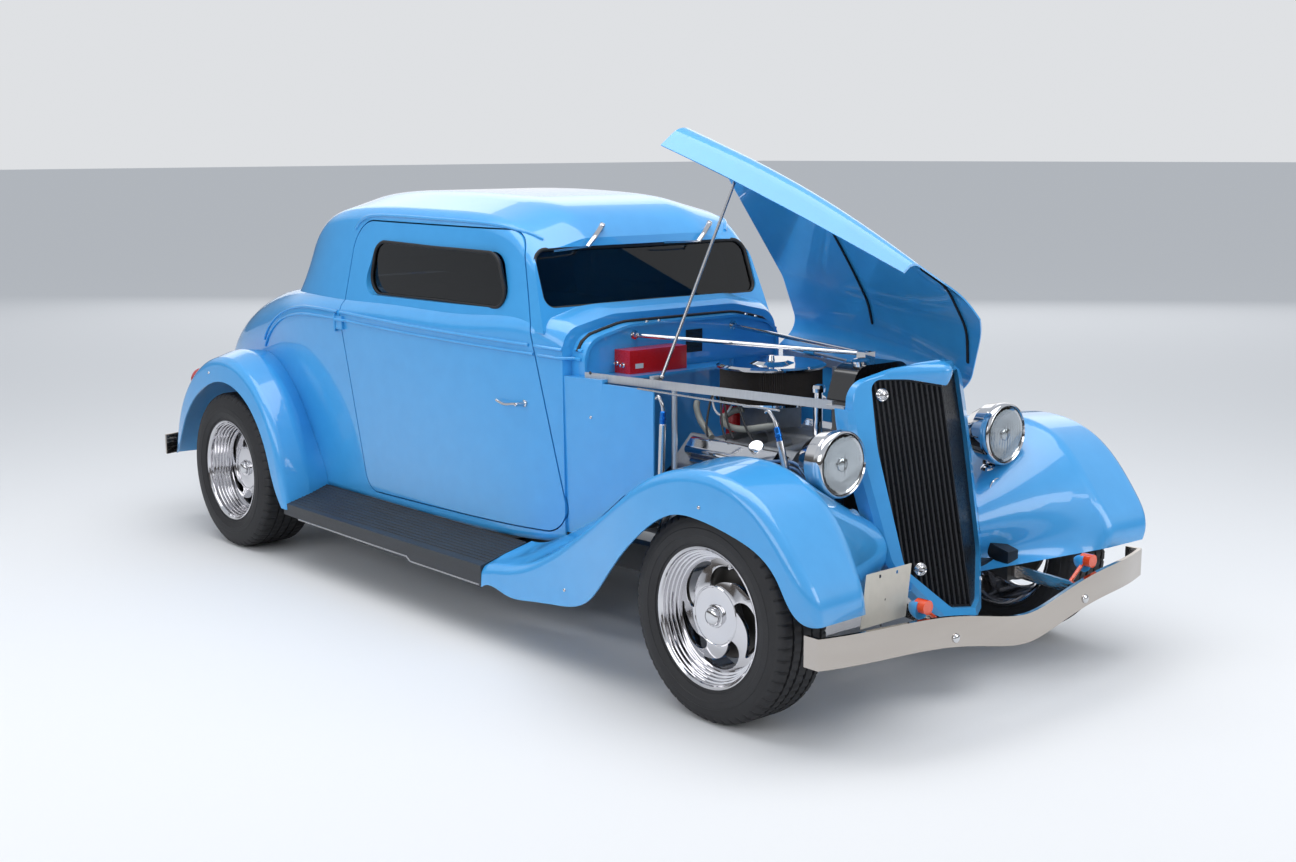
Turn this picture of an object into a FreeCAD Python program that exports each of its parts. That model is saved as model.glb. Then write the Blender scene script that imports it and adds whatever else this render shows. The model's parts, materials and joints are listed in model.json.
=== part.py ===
import FreeCAD, Part
import math
import os

# Steel-bodied mid-1930s coupe rebuilt as a hot rod, full size, in millimetres.
# X runs forward, Y to the car's left and Z up. Z = 0 is the ground. In the tables X is measured
# from the cowl datum; MID_X moves every finished piece so that the origin lies under the middle
# of the overall length.

V = FreeCAD.Vector

# ---------------------------------------------------------------- driving dimensions
FRONT_AXLE_X = 1350.0
WHEELBASE = 2845.0
REAR_AXLE_X = FRONT_AXLE_X - WHEELBASE
NOSE_X = 1890.0
TAIL_X = -2256.0
MID_X = (NOSE_X + TAIL_X) / 2.0

SEAT_GAP = 0.3          # seating clearance between pieces that touch
PANEL_GAP = 5.0         # shut line round doors and lids

WALL = 45.0             # whole thickness of the cab's walls and doors
SHEET = 6.0             # fenders, aprons and the hood's skin

# Wheels: tyre radius, tyre width, rim radius, outer face of the rim from the centre line, dish depth
TYRE_R = {"front": 306.0, "rear": 316.0}
TYRE_W = {"front": 196.0, "rear": 236.0}
RIM_FACE_Y = {"front": 742.0, "rear": 738.0}
DISH = {"front": 52.0, "rear": 88.0}
RIM_R = 205.0
RIM_EDGE = 10.0         # tyre wider than the rim, each side
BEAD_R = 192.0
BARREL_WALL = 7.0
AXLE_X = {"front": FRONT_AXLE_X, "rear": REAR_AXLE_X}
SPOKES = 5
HUB_R = 62.0
SPINDLE_R = 17.0
PIN_CLEARANCE = 0.05
KINGPIN_Y = 560.0
KINGPIN_R = 15.0

# Hood and its rails
RAIL_REAR = V(450.0, 460.0, 885.0)
RAIL_FRONT = V(1400.0, 230.0, 867.0)
HOOD_OPEN = 50.0
HOOD_SHEET = 5.0


# ---------------------------------------------------------------- helpers
def box(x0, x1, y0, y1, z0, z1):
    return Part.makeBox(x1 - x0, y1 - y0, z1 - z0, V(x0, y0, z0))


def rod(a, b, radius):
    """A round bar from point a to point b."""
    return Part.makeCylinder(radius, (b - a).Length, a, b - a)


def mirrored(shape):
    """The same piece on the car's other side."""
    return shape.mirror(V(0, 0, 0), V(0, 1, 0))


def both_sides(shape):
    return [shape, mirrored(shape)]


def fused(pieces):
    first, rest = pieces[0], pieces[1:]
    return first.fuse(rest).removeSplitter() if rest else first


MOST_OF_HALF = 0.47     # a corner's arc takes at most this much of the sides beside it


def rounded_edges(points, closed=True):
    """Lines and tangent arcs along a polyline of (point, corner radius)."""
    count = len(points)
    starts = []
    ends = []
    arcs = []
    for i in range(count):
        corner, radius = points[i]
        last = not closed and i in (0, count - 1)
        if last or radius <= 0:
            starts.append(corner)
            ends.append(corner)
            arcs.append(None)
            continue
        back = points[i - 1][0] - corner
        ahead = points[(i + 1) % count][0] - corner
        room = MOST_OF_HALF * min(back.Length, ahead.Length)
        back.normalize()
        ahead.normalize()
        half = back.getAngle(ahead) / 2.0
        reach = min(radius / math.tan(half), room)
        radius = reach * math.tan(half)
        a = corner + back * reach
        b = corner + ahead * reach
        bisector = (back + ahead).normalize()
        middle = corner + bisector * (radius / math.sin(half) - radius)
        starts.append(a)
        ends.append(b)
        arcs.append(Part.Arc(a, middle, b).toShape())
    edges = []
    for i in range(count):
        if arcs[i] is not None:
            edges.append(arcs[i])
        if i + 1 < count or closed:
            edges.append(Part.makeLine(ends[i], starts[(i + 1) % count]))
    return edges


def outline(corners, place):
    """A closed rounded outline; corners are (u, v, radius) and place turns u, v into a point."""
    return Part.Wire(rounded_edges([(place(u, v), r) for u, v, r in corners]))


def side_prism(corners, y0, y1):
    """A rounded XZ outline extruded along Y."""
    wire = outline(corners, lambda x, z: V(x, y0, z))
    return Part.Face(wire).extrude(V(0, y1 - y0, 0))


def front_prism(corners, x0, x1):
    """A rounded YZ outline extruded along X."""
    wire = outline(corners, lambda y, z: V(x0, y, z))
    return Part.Face(wire).extrude(V(x1 - x0, 0, 0))


def plan_prism(corners, z0, z1):
    """A rounded XY outline extruded along Z."""
    wire = outline(corners, lambda x, y: V(x, y, z0))
    return Part.Face(wire).extrude(V(0, 0, z1 - z0))


def arch(x, half):
    """A closed section across the car at X = x from its left half, corners (y, z, radius) going up."""
    left = [(y, z, r) for y, z, r in half]
    right = [(-y, z, r) for y, z, r in reversed(half)]
    return outline(left + right, lambda y, z: V(x, y, z))


def bar_along(stations, width, height):
    """A straight-sided bar of rectangular section through (x, y, z) stations, section across X."""
    wires = []
    for x, y, z in stations:
        a = V(x, y - width / 2, z - height / 2)
        b = V(x, y + width / 2, z - height / 2)
        c = V(x, y + width / 2, z + height / 2)
        d = V(x, y - width / 2, z + height / 2)
        wires.append(Part.makePolygon([a, b, c, d, a]))
    return Part.makeLoft(wires, True, True)


def turned(profile, centre, axis):
    """A revolved solid; profile is a closed list of (along the axis, radius) points."""
    side = V(1, 0, 0) if abs(axis.x) < 0.9 else V(0, 0, 1)
    points = [centre + axis * a + side * r for a, r in profile]
    return Part.Face(Part.makePolygon(points + [points[0]])).revolve(centre, axis, 360)


# ---------------------------------------------------------------- body sections
# Tub from the cowl to the tail: x, half width and height of the sill, of the belt with its corner
# radius, and of the top with its half width.
TUB = [
    # x, y_sill, z_sill, y_belt, z_belt, r_belt, y_top, z_top
    (392, 486, 308, 490, 1012, 80, 280, 1056),
    (290, 515, 300, 527, 1046, 70, 300, 1094),
    (0, 545, 290, 577, 1046, 70, 300, 1100),
    (-400, 552, 287, 600, 1046, 70, 300, 1100),
    (-800, 550, 287, 608, 1044, 75, 300, 1100),
    (-1200, 535, 290, 600, 1035, 110, 290, 1092),
    (-1500, 500, 305, 566, 1000, 170, 270, 1052),
    (-1850, 440, 335, 500, 880, 180, 240, 945),
    (-2070, 400, 375, 430, 745, 150, 200, 810),
    (-2150, 380, 400, 395, 655, 120, 180, 715),
]
# Neck of the cowl, stepped down under the hood's rear edge; the same columns
NECK = [
    (454, 446, 330, 446, 980, 84, 254, 1024),
    (386, 452, 310, 452, 988, 84, 262, 1030),
]
# Its lower part, flush with the tub, under the hood's rails: x, y_sill, z_sill, y_ledge, z_ledge
LEDGE_Z = 868.0
NECK_LOW = [
    (560, 446, 330, 460, LEDGE_Z),
    (386, 476, 310, 486, LEDGE_Z),
]
NECK_WALL = 9.0
SILL_R = 30.0
SILL_T = 20.0           # bottom wall of the sills
TOP_R = 260.0

# Greenhouse: x, half width at the belt, half width and height of the roof's edge, top half width, top
GREENHOUSE = [
    # x, y_low, y_edge, z_edge, y_top, z_top
    (330, 520, 486, 1262, 260, 1292),
    (215, 533, 490, 1275, 265, 1312),
    (150, 540, 494, 1325, 270, 1372),
    (50, 550, 500, 1358, 275, 1412),
    (-150, 566, 506, 1376, 280, 1436),
    (-500, 578, 508, 1382, 285, 1446),
    (-850, 580, 502, 1376, 280, 1438),
    (-1050, 566, 486, 1345, 265, 1408),
    (-1170, 548, 466, 1290, 250, 1352),
    (-1260, 530, 446, 1200, 240, 1255),
    (-1340, 510, 425, 1085, 230, 1130),
]
GREEN_BASE_Z = 1000.0
EDGE_R = 60.0
ROOF_R = 380.0

# Windscreen plane: foot point and lean
SCREEN_FOOT_X = 305.0
SCREEN_FOOT_Z = 1080.0
SCREEN_LEAN = 19.8


def hull(table, inset):
    """A loft through body sections, smaller all round by inset."""
    wires = []
    for x, y_sill, z_sill, y_belt, z_belt, r_belt, y_top, z_top in table:
        half = [
            (y_sill - inset, z_sill + min(inset, SILL_T), SILL_R),
            (y_belt - inset, z_belt - inset, r_belt),
            (y_top, z_top - inset, TOP_R),
        ]
        wires.append(arch(x, half))
    return Part.makeLoft(wires, True, len(table) < 3)


def tub(inset=0.0):
    return hull(TUB, inset)


def neck(inset=0.0):
    """The cowl's neck, upper part and ledge, smaller all round by inset."""
    wires = []
    for x, y_sill, z_sill, y_ledge, z_ledge in NECK_LOW:
        left = [(y_sill - inset, z_sill + inset, SILL_R), (y_ledge - inset, z_ledge - inset, 0)]
        wires.append(arch(x, left))
    return hull(NECK, inset).fuse(Part.makeLoft(wires, True, True))


def greenhouse(inset=0.0):
    """The cab above the belt, smaller all round by inset."""
    wires = []
    for x, y_low, y_edge, z_edge, y_top, z_top in GREENHOUSE:
        half = [
            (y_low - inset, GREEN_BASE_Z, 5.0),
            (y_edge - inset, z_edge - inset, EDGE_R),
            (y_top, z_top - inset, ROOF_R),
        ]
        wires.append(arch(x, half))
    return Part.makeLoft(wires, True, False)


def behind_screen(offset):
    """Everything behind the windscreen plane moved back by offset."""
    lean = math.radians(SCREEN_LEAN)
    back = V(-math.cos(lean), 0, -math.sin(lean))
    up = V(-math.sin(lean), 0, math.cos(lean))
    foot = V(SCREEN_FOOT_X, 0, SCREEN_FOOT_Z) + back * offset
    a = foot + up * 900 + V(0, -900, 0)
    b = foot - up * 900 + V(0, -900, 0)
    face = Part.Face(Part.makePolygon([a, b, b + V(0, 1800, 0), a + V(0, 1800, 0), a]))
    return face.extrude(back * 3200)


# Door outline, corners (x at the outer skin, x at the lining, z, radius); the front edge leans in
# so that the door's inner corner clears the jamb as it swings.
DOOR = [
    (445, 405, 345, 80),
    (296, 256, 1000, 260),
    (212, 172, 1330, 90),
    (-806, -806, 1338, 120),
    (-820, -820, 1040, 160),
    (-726, -726, 330, 70),
]
DOOR_SKIN_Y = 660.0
DOOR_LINING_Y = 430.0
SIDE_WINDOW = [
    # x, z, radius
    (164, 1072, 58),
    (108, 1256, 62),
    (-652, 1268, 78),
    (-712, 1072, 60),
]
DOOR_HINGE = V(-838.0, 611.5, 925.0)     # foot of the left door's hinge pin
DOOR_HINGE_TALL = 70.0
HINGE_PIN_R = 3.0
HINGE_BARREL_R = 6.0
HINGE_LUG = 10.0


def grown(corners, by):
    """A rounded outline of (u, v, radius) corners moved out by a distance along each side."""
    count = len(corners)
    moved = []
    area = sum(corners[i - 1][0] * corners[i][1] - corners[i][0] * corners[i - 1][1] for i in range(count))
    way = 1.0 if area > 0 else -1.0
    for i in range(count):
        p = V(corners[i - 1][0], corners[i - 1][1], 0)
        q = V(corners[i][0], corners[i][1], 0)
        s = V(corners[(i + 1) % count][0], corners[(i + 1) % count][1], 0)
        n1 = V(q.y - p.y, p.x - q.x, 0).normalize() * way
        n2 = V(s.y - q.y, q.x - s.x, 0).normalize() * way
        shift = (n1 + n2) * (by / (1.0 + n1.dot(n2)))
        radius = max(corners[i][2] + by, 1.0)
        moved.append((q.x + shift.x, q.y + shift.y, radius))
    return moved


def door_prism(gap):
    """The left door's tapered outline as a solid, larger all round by gap."""
    skin = grown([(x_skin, z, r) for x_skin, x_in, z, r in DOOR], gap)
    lining = grown([(x_in, z, r) for x_skin, x_in, z, r in DOOR], gap)
    outer = outline(skin, lambda x, z: V(x, DOOR_SKIN_Y, z))
    inner = outline(lining, lambda x, z: V(x, DOOR_LINING_Y, z))
    return Part.makeLoft([outer, inner], True, True)



# ---------------------------------------------------------------- cab, doors, lid and glass
FLOOR_TOP_Z = 345.0
FLOOR_T = 12.0
FLOOR_HALF = 480.0
TRUNK_X = -1085.0
TRUNK_TOP_Z = 532.0
TAIL_WALL_X = -2108.0
WELL_IN_Y = FLOOR_HALF
WELL_R = 362.0
FIREWALL_X = 430.0
SCREEN_OPENING = [
    # y, height up the screen plane, radius
    (487, 0, 42),
    (484, 205, 55),
]
GLASS_T = 6.0
SCREEN_DEPTH = 16.0
REAR_WINDOW = [
    # y, z, radius
    (255, 1150, 45),
    (240, 1272, 50),
]
REAR_GLASS_X = -1278.0
REAR_GLASS_LEAN = 35.5
SIDE_GLASS_Y = 524.0
DECK_LID = [
    # x, y, radius
    (-1425, 330, 60),
    (-2078, 232, 60),
]
LID_BASE_Z = 620.0
LID_HINGE = V(-1421.0, 120.0, 1075.0)    # inner end of the left pin
LID_HINGE_LONG = 60.0


def pairs(half):
    """A half outline of (u, v, radius) rows made whole across u = 0."""
    return [(u, v, r) for u, v, r in half] + [(-u, v, r) for u, v, r in reversed(half)]


def screen_plate(corners, front, thickness):
    """A plate parallel to the windscreen plane, its front face set back from it."""
    lean = math.radians(SCREEN_LEAN)
    back = V(-math.cos(lean), 0, -math.sin(lean))
    up = V(-math.sin(lean), 0, math.cos(lean))
    foot = V(SCREEN_FOOT_X, 0, SCREEN_FOOT_Z) + back * front
    wire = outline(corners, lambda y, s: foot + up * s + V(0, y, 0))
    return Part.Face(wire).extrude(back * thickness)


def lid_prism(gap):
    corners = [(x, y, r) for x, y, r in DECK_LID] + [(x, -y, r) for x, y, r in reversed(DECK_LID)]
    return plan_prism(grown(corners, gap), LID_BASE_Z, 1400)


def rear_window_prism(gap):
    return front_prism(grown(pairs(REAR_WINDOW), gap), -1450, -1150)


def cab_shell():
    """The hollow steel shell: cowl, pillars, roof, quarters and tail, before doors and lid are cut."""
    upper = greenhouse().common(behind_screen(0))
    outer = tub().fuse([upper, neck()])
    room = greenhouse(WALL).common(behind_screen(WALL))
    hollow = tub(WALL).common(box(TAIL_WALL_X, 900, -900, 900, 0, 1500))
    shell = outer.cut(hollow).cut(room).cut(neck(NECK_WALL))
    shell = shell.cut(box(TRUNK_X, 900, -FLOOR_HALF, FLOOR_HALF, 0, FLOOR_TOP_Z))
    shell = shell.cut(box(TAIL_WALL_X, TRUNK_X, -FLOOR_HALF, FLOOR_HALF, 0, TRUNK_TOP_Z))
    shell = shell.fuse(both_sides(wheelhouse())).cut(both_sides(wheel_well(0)))
    shell = shell.cut(screen_plate(pairs(SCREEN_OPENING), -60, 200))
    return shell.cut(rear_window_prism(0))


def wheel_well(wall):
    """The round space over the left rear wheel, larger by a wall."""
    hub = V(REAR_AXLE_X, WELL_IN_Y - wall, TYRE_R["rear"])
    return Part.makeCylinder(WELL_R + wall, 300, hub, V(0, 1, 0))


def wheelhouse():
    """The sheet cover over that space inside the trunk."""
    room = box(REAR_AXLE_X - 500, REAR_AXLE_X + 500, 0, 900, TRUNK_TOP_Z, 1500)
    return wheel_well(SHEET).common(room).common(tub(WALL / 2))


def cowl_sides():
    """Sheet panels that carry the cowl's sides forward under the hood rails."""
    wires = []
    for x, y, z0, z1 in COWL_SIDE:
        a = V(x, y, z0)
        b = V(x, y - SHEET, z0)
        c = V(x, y - SHEET, z1)
        d = V(x, y, z1)
        wires.append(Part.makePolygon([a, b, c, d, a]))
    return Part.makeLoft(wires, True, True)


COWL_SIDE = [
    # x, outer y, bottom z, top z
    (548, 461, 420, 856),
    (640, 444, 500, 854),
    (760, 419, 560, 851),
]


def hinge(foot, along, length, to_fixed, to_moving):
    """A pin in two fixed lugs and the barrel and leaf that turn on it; the ways are whole vectors."""
    lug = HINGE_LUG
    pin = Part.makeCylinder(HINGE_PIN_R, length, foot, along)

    def block(start, size, way, spread):
        a = foot + along * start
        b = a + along * size + way
        low = V(min(a.x, b.x), min(a.y, b.y), min(a.z, b.z)) - spread
        high = V(max(a.x, b.x), max(a.y, b.y), max(a.z, b.z)) + spread
        return Part.makeBox(high.x - low.x, high.y - low.y, high.z - low.z, low)

    thick = V(*[0.0 if abs(c) > 0.5 or abs(w) > 0.5 else HINGE_PIN_R for c, w in zip(along, to_fixed)])
    lugs = [block(0, lug, to_fixed, thick), block(length - lug, lug, to_fixed, thick)]
    barrel_start = lug + SEAT_GAP
    barrel_long = length - 2 * barrel_start
    barrel = Part.makeCylinder(HINGE_BARREL_R, barrel_long, foot + along * barrel_start, along)
    leaf = block(barrel_start, barrel_long, to_moving, V(0, 0, 0))
    bore = Part.makeCylinder(HINGE_PIN_R + PIN_CLEARANCE, length, foot, along)
    return fused([pin] + lugs), barrel.fuse(leaf).cut(bore)


def door_hinge():
    """Its leaf bridges the pillar's skin and lands on the door by a pad."""
    fixed, moving = hinge(DOOR_HINGE, V(0, 0, 1), DOOR_HINGE_TALL, V(-6, -15, 0), V(50, -5, 0))
    low = DOOR_HINGE + V(38, -21, HINGE_LUG + SEAT_GAP)
    pad = Part.makeBox(12, 21, DOOR_HINGE_TALL - 2 * (HINGE_LUG + SEAT_GAP), low)
    return fixed, moving.fuse(pad)


def lid_hinge():
    return hinge(LID_HINGE, V(0, 1, 0), LID_HINGE_LONG, V(18, 0, -18), V(-30, 0, -10))


def build_cab():
    shell = cab_shell()
    openings = door_prism(PANEL_GAP)
    door_pin, door_barrel = door_hinge()
    lid_pin, lid_barrel = lid_hinge()
    cab = shell.cut(openings).cut(mirrored(openings)).cut(lid_prism(PANEL_GAP))
    cab = cab.fuse(both_sides(cowl_sides()) + both_sides(door_pin) + both_sides(lid_pin))
    door = shell.common(door_prism(0)).cut(side_prism(SIDE_WINDOW, 300, 800)).fuse(door_barrel)
    lid = shell.common(lid_prism(0)).fuse(both_sides(lid_barrel))
    return cab, door, lid


def build_firewall():
    slab = box(FIREWALL_X, FIREWALL_X + FLOOR_T, -900, 900, FLOOR_TOP_Z + SEAT_GAP, 1500)
    plate = neck(NECK_WALL + SEAT_GAP).common(slab)
    hole = Part.makeCylinder(TUNNEL_R - FLOOR_T, 100, V(FIREWALL_X - 40, 0, TUNNEL_Z), V(1, 0, 0))
    leg = box(FIREWALL_X - 40, FIREWALL_X + 60, -TUNNEL_R + FLOOR_T, TUNNEL_R - FLOOR_T, 0, TUNNEL_Z)
    return plate.cut([hole, leg])


TUNNEL_R = 150.0
TUNNEL_Z = 400.0
TUNNEL_BACK_X = -420.0
SHAFT_HALF = 62.0
SHAFT_TOP_Z = 455.0


def build_floor():
    """Floor pan with its tunnel, the riser behind the seat and the raised trunk floor."""
    half = FLOOR_HALF - SEAT_GAP
    under = FLOOR_TOP_Z - FLOOR_T
    start_x = FIREWALL_X - SEAT_GAP
    plate = box(TRUNK_X, start_x, -half, half, under, FLOOR_TOP_Z)
    riser = box(TRUNK_X, TRUNK_X + FLOOR_T, -half, half, under, TRUNK_TOP_Z)
    trunk = box(TAIL_WALL_X, TRUNK_X + FLOOR_T, -half, half, TRUNK_TOP_Z - FLOOR_T, TRUNK_TOP_Z)

    def tunnel(wall):
        r = TUNNEL_R - wall
        reach = start_x - TUNNEL_BACK_X
        pipe = Part.makeCylinder(r, reach, V(TUNNEL_BACK_X + wall, 0, TUNNEL_Z), V(1, 0, 0))
        legs = box(TUNNEL_BACK_X + wall, start_x + wall, -r, r, under, TUNNEL_Z)
        w = SHAFT_HALF - wall
        back = box(TRUNK_X, TUNNEL_BACK_X + 2 * FLOOR_T, -w, w, under, SHAFT_TOP_Z - wall)
        return pipe.fuse([legs, back]).cut(box(-2000, 900, -900, 900, 0, under))

    whole = plate.fuse([riser, trunk, tunnel(0)]).cut(tunnel(FLOOR_T))
    return whole.common(tub(WALL / 2).fuse(neck(NECK_WALL + SEAT_GAP)))


def build_glass():
    screen = screen_plate(grown(pairs(SCREEN_OPENING), -SEAT_GAP), SCREEN_DEPTH, GLASS_T)
    side = side_prism(grown(SIDE_WINDOW, -SEAT_GAP), SIDE_GLASS_Y, SIDE_GLASS_Y + GLASS_T)
    lean = math.radians(REAR_GLASS_LEAN)
    along = V(math.sin(lean), 0, math.cos(lean))
    front = V(math.cos(lean), 0, -math.sin(lean))
    foot = V(REAR_GLASS_X, 0, 1200)
    a = foot - along * 200 + V(0, -400, 0)
    b = foot + along * 200 + V(0, -400, 0)
    slab = Part.Face(Part.makePolygon([a, b, b + V(0, 800, 0), a + V(0, 800, 0), a])).extrude(front * GLASS_T)
    rear = rear_window_prism(-SEAT_GAP).common(slab)
    return screen, side, rear


# ---------------------------------------------------------------- chassis
RAIL_NOSE_X = 1622.0
RAIL_TAIL_X = -2000.0
RAIL_W = 50.0
RAIL_H = 90.0
FRAME_RAIL = [
    # x, y, z of the rail's middle
    (RAIL_NOSE_X, 285, 334),
    (1480, 285, 372),
    (1250, 290, 372),
    (1000, 318, 300),
    (700, 350, 287),
    (0, 400, 287),
    (-1095, 425, 287),
    (-1310, 385, 425),
    (-1700, 350, 430),
    (RAIL_TAIL_X, 340, 380),
]
CROSSMEMBERS = [
    # x, width, bottom z, top z, half length
    (1545, 44, 318, 350, 268),
    (1350, 90, 345, 395, 268),
    (200, 60, 252, 290, 365),
    (-640, 60, 252, 300, 405),
    (-1555, 80, 440, 475, 355),
    (-1960, 50, 360, 400, 335),
]
BOARD_BRACKETS_X = (60, -420, -900)


def build_frame():
    rail = bar_along(FRAME_RAIL, RAIL_W, RAIL_H)
    pieces = both_sides(rail)
    for x, width, z0, z1, half in CROSSMEMBERS:
        pieces.append(box(x - width / 2, x + width / 2, -half, half, z0, z1))
    for x in BOARD_BRACKETS_X:
        arm = [(390, 246, 0), (BOARD_IN_Y, BOARD_IN_Z - BOARD_T - SEAT_GAP, 0), (712, 225, 0),
               (712, 214, 0), (390, 225, 0)]
        pieces += both_sides(front_prism(arm, x - 20, x + 20))
    return fused(pieces)


AXLE_BEAM = [
    # y, z, radius: underside then top, half of the beam
    (0, 168, 0),
    (330, 168, 90),
    (470, 268, 70),
    (560, 268, 0),
    (560, 340, 0),
    (455, 340, 60),
    (318, 222, 90),
    (0, 222, 0),
]
BEAM_T = 46.0
BOSS_R = 27.0
BOSS_Z = (268.0, 344.0)
SPRING_T = 45.0


def build_front_axle():
    half = outline([(y, z, r) for y, z, r in AXLE_BEAM], lambda y, z: V(FRONT_AXLE_X - BEAM_T / 2, y, z))
    beam = Part.Face(half).extrude(V(BEAM_T, 0, 0))
    boss = Part.makeCylinder(BOSS_R, BOSS_Z[1] - BOSS_Z[0], V(FRONT_AXLE_X, KINGPIN_Y, BOSS_Z[0]))
    pin = Part.makeCylinder(KINGPIN_R, 140, V(FRONT_AXLE_X, KINGPIN_Y, 236))
    link = rod(V(FRONT_AXLE_X, 330, 185), V(820, 330, 228), 12)
    spring = front_prism([(0, 300, 0), (430, 240, 0), (430, 268, 0), (0, 344.6, 0)],
                         FRONT_AXLE_X - SPRING_T / 2, FRONT_AXLE_X + SPRING_T / 2)
    shackle = box(FRONT_AXLE_X - 12, FRONT_AXLE_X + 12, 400, 424, 200, 250)
    side = [beam, boss, pin, link, spring, shackle]
    return fused([s for piece in side for s in both_sides(piece)])


EAR_T = 24.0
EAR_GAP = 0.3
ARM_LENGTH = 125.0
ARM_Z = 250.0


def build_knuckle():
    """The left steering knuckle: two ears on the kingpin, web, spindle, arm and brake caliper."""
    ears = []
    for z in (BOSS_Z[0] - EAR_GAP - EAR_T, BOSS_Z[1] + EAR_GAP):
        ear = Part.makeCylinder(26, EAR_T, V(FRONT_AXLE_X, KINGPIN_Y, z))
        lug = box(FRONT_AXLE_X - 22, FRONT_AXLE_X + 22, KINGPIN_Y, KINGPIN_Y + 52, z, z + EAR_T)
        ears += [ear, lug]
    low = BOSS_Z[0] - EAR_GAP - EAR_T
    high = BOSS_Z[1] + EAR_GAP + EAR_T
    web = box(FRONT_AXLE_X - 30, FRONT_AXLE_X + 30, KINGPIN_Y + 34, KINGPIN_Y + 52, low, high)
    spindle = Part.makeCylinder(SPINDLE_R, 62, V(FRONT_AXLE_X, KINGPIN_Y + 50, TYRE_R["front"]), V(0, 1, 0))
    arm = bar_along([(FRONT_AXLE_X - ARM_LENGTH - 14, KINGPIN_Y, low + 12), (FRONT_AXLE_X, KINGPIN_Y, low + 12)], 26, 20)
    whole = fused(ears + [web, spindle, arm])
    bore = Part.makeCylinder(KINGPIN_R + PIN_CLEARANCE, 200, V(FRONT_AXLE_X, KINGPIN_Y, 220))
    eye = Part.makeCylinder(8 + PIN_CLEARANCE, 60, V(FRONT_AXLE_X - ARM_LENGTH, KINGPIN_Y, 220))
    return whole.cut(bore).cut(eye)


def build_tie_rod():
    x = FRONT_AXLE_X - ARM_LENGTH
    z = BOSS_Z[0] - EAR_GAP - EAR_T
    tube = rod(V(x, -KINGPIN_Y, z - 14), V(x, KINGPIN_Y, z - 14), 11)
    pins = [Part.makeCylinder(8, 40, V(x, side * KINGPIN_Y, z - 14)) for side in (-1, 1)]
    return fused([tube] + pins)


COIL_TOP_Z = 440.0
COIL_BACK = 60.0
COIL_Y = 250.0


def build_rear_axle():
    """Tube axle with its differential, propeller shaft, coil-over springs and stub pins."""
    x = REAR_AXLE_X
    z = TYRE_R["rear"]
    tube = Part.makeCylinder(38, 1160, V(x, -580, z), V(0, 1, 0))
    pins = Part.makeCylinder(SPINDLE_R, 1264, V(x, -632, z), V(0, 1, 0))
    ball = Part.makeSphere(120, V(x, 0, z))
    shaft = rod(V(x, 0, z), V(-430, 0, 394), 30)
    coil = Part.makeCylinder(32, COIL_TOP_Z - SEAT_GAP - z + 30, V(x - COIL_BACK, COIL_Y, z - 30))
    return fused([tube, pins, ball, shaft] + both_sides(coil))


# ---------------------------------------------------------------- wheels
ROTOR_R = 140.0
ROTOR_T = 18.0
DISC_T = 22.0
HUB_BACK = 62.0
SLOT = [
    # radius, angle, corner radius
    (84, -4, 8),
    (156, -32, 14),
    (168, -2, 14),
    (112, 16, 10),
]


def build_wheel(end):
    """Left wheel at its place: rim, spider with curved slots, domed cap, hub and brake rotor."""
    width = TYRE_W[end] - 2 * RIM_EDGE
    dish = DISH[end]
    centre = V(AXLE_X[end], RIM_FACE_Y[end], TYRE_R[end])
    out = V(0, 1, 0)
    rim = turned([(0, RIM_R - 7), (0, RIM_R), (-8, RIM_R), (-8, BEAD_R), (-width + 8, BEAD_R), (-width + 8, RIM_R),
                  (-width, RIM_R), (-width, RIM_R - 7), (-width + 12, BEAD_R - BARREL_WALL),
                  (-12, BEAD_R - BARREL_WALL)], centre, out)
    spider = turned([(-dish, 0), (-dish - DISC_T, 0), (-dish - DISC_T, BEAD_R - 2), (-dish + 6, BEAD_R - 2),
                     (-dish + 2, 150), (-dish + 10, 80), (-dish + 14, HUB_R)], centre, out)
    for i in range(SPOKES):
        turn = 360.0 / SPOKES * i
        corners = [(r * math.cos(math.radians(a + turn)), r * math.sin(math.radians(a + turn)), c) for r, a, c in SLOT]
        wire = outline(corners, lambda u, w: centre + V(u, -dish - 60, w))
        spider = spider.cut(Part.Face(wire).extrude(V(0, 100, 0)))
    cap = turned([(-dish, 0), (-dish, 46), (-dish + 26, 44), (-dish + 40, 30), (-dish + 46, 0)], centre, out)
    back = -dish - DISC_T
    hub = turned([(back + 2, 0), (back - HUB_BACK + 22, 0), (back - HUB_BACK + 22, HUB_R), (back + 2, HUB_R)], centre, out)
    rotor = turned([(back - 20, 0), (back - 20 - ROTOR_T, 0), (back - 20 - ROTOR_T, ROTOR_R), (back - 20, ROTOR_R)], centre, out)
    whole = fused([rim, spider, cap, hub, rotor])
    reach = HUB_BACK + 4
    bore = Part.makeCylinder(SPINDLE_R + PIN_CLEARANCE, reach, centre + V(0, back - HUB_BACK + 10, 0), out)
    return whole.cut(bore)


def build_tyre(end):
    width = TYRE_W[end]
    radius = TYRE_R[end]
    centre = V(AXLE_X[end], RIM_FACE_Y[end] + RIM_EDGE, TYRE_R[end])

    def at(a, r):
        return centre + V(0, a, r)

    bead = -RIM_EDGE - 8 - SEAT_GAP
    far = -width + RIM_EDGE + 8 + SEAT_GAP
    points = [
        (at(bead, BEAD_R + SEAT_GAP), 0), (at(bead, RIM_R + 2), 0), (at(-8, RIM_R + 8), 12), (at(2, 252), 40),
        (at(-6, radius - 4), 26), (at(-40, radius), 60), (at(-width + 40, radius), 60),
        (at(-width + 6, radius - 4), 26), (at(-width - 2, 252), 40), (at(-width + 8, RIM_R + 8), 12),
        (at(far, RIM_R + 2), 0), (at(far, BEAD_R + SEAT_GAP), 0),
    ]
    face = Part.Face(Part.Wire(rounded_edges(points)))
    return face.revolve(centre, V(0, 1, 0), 360)


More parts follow.
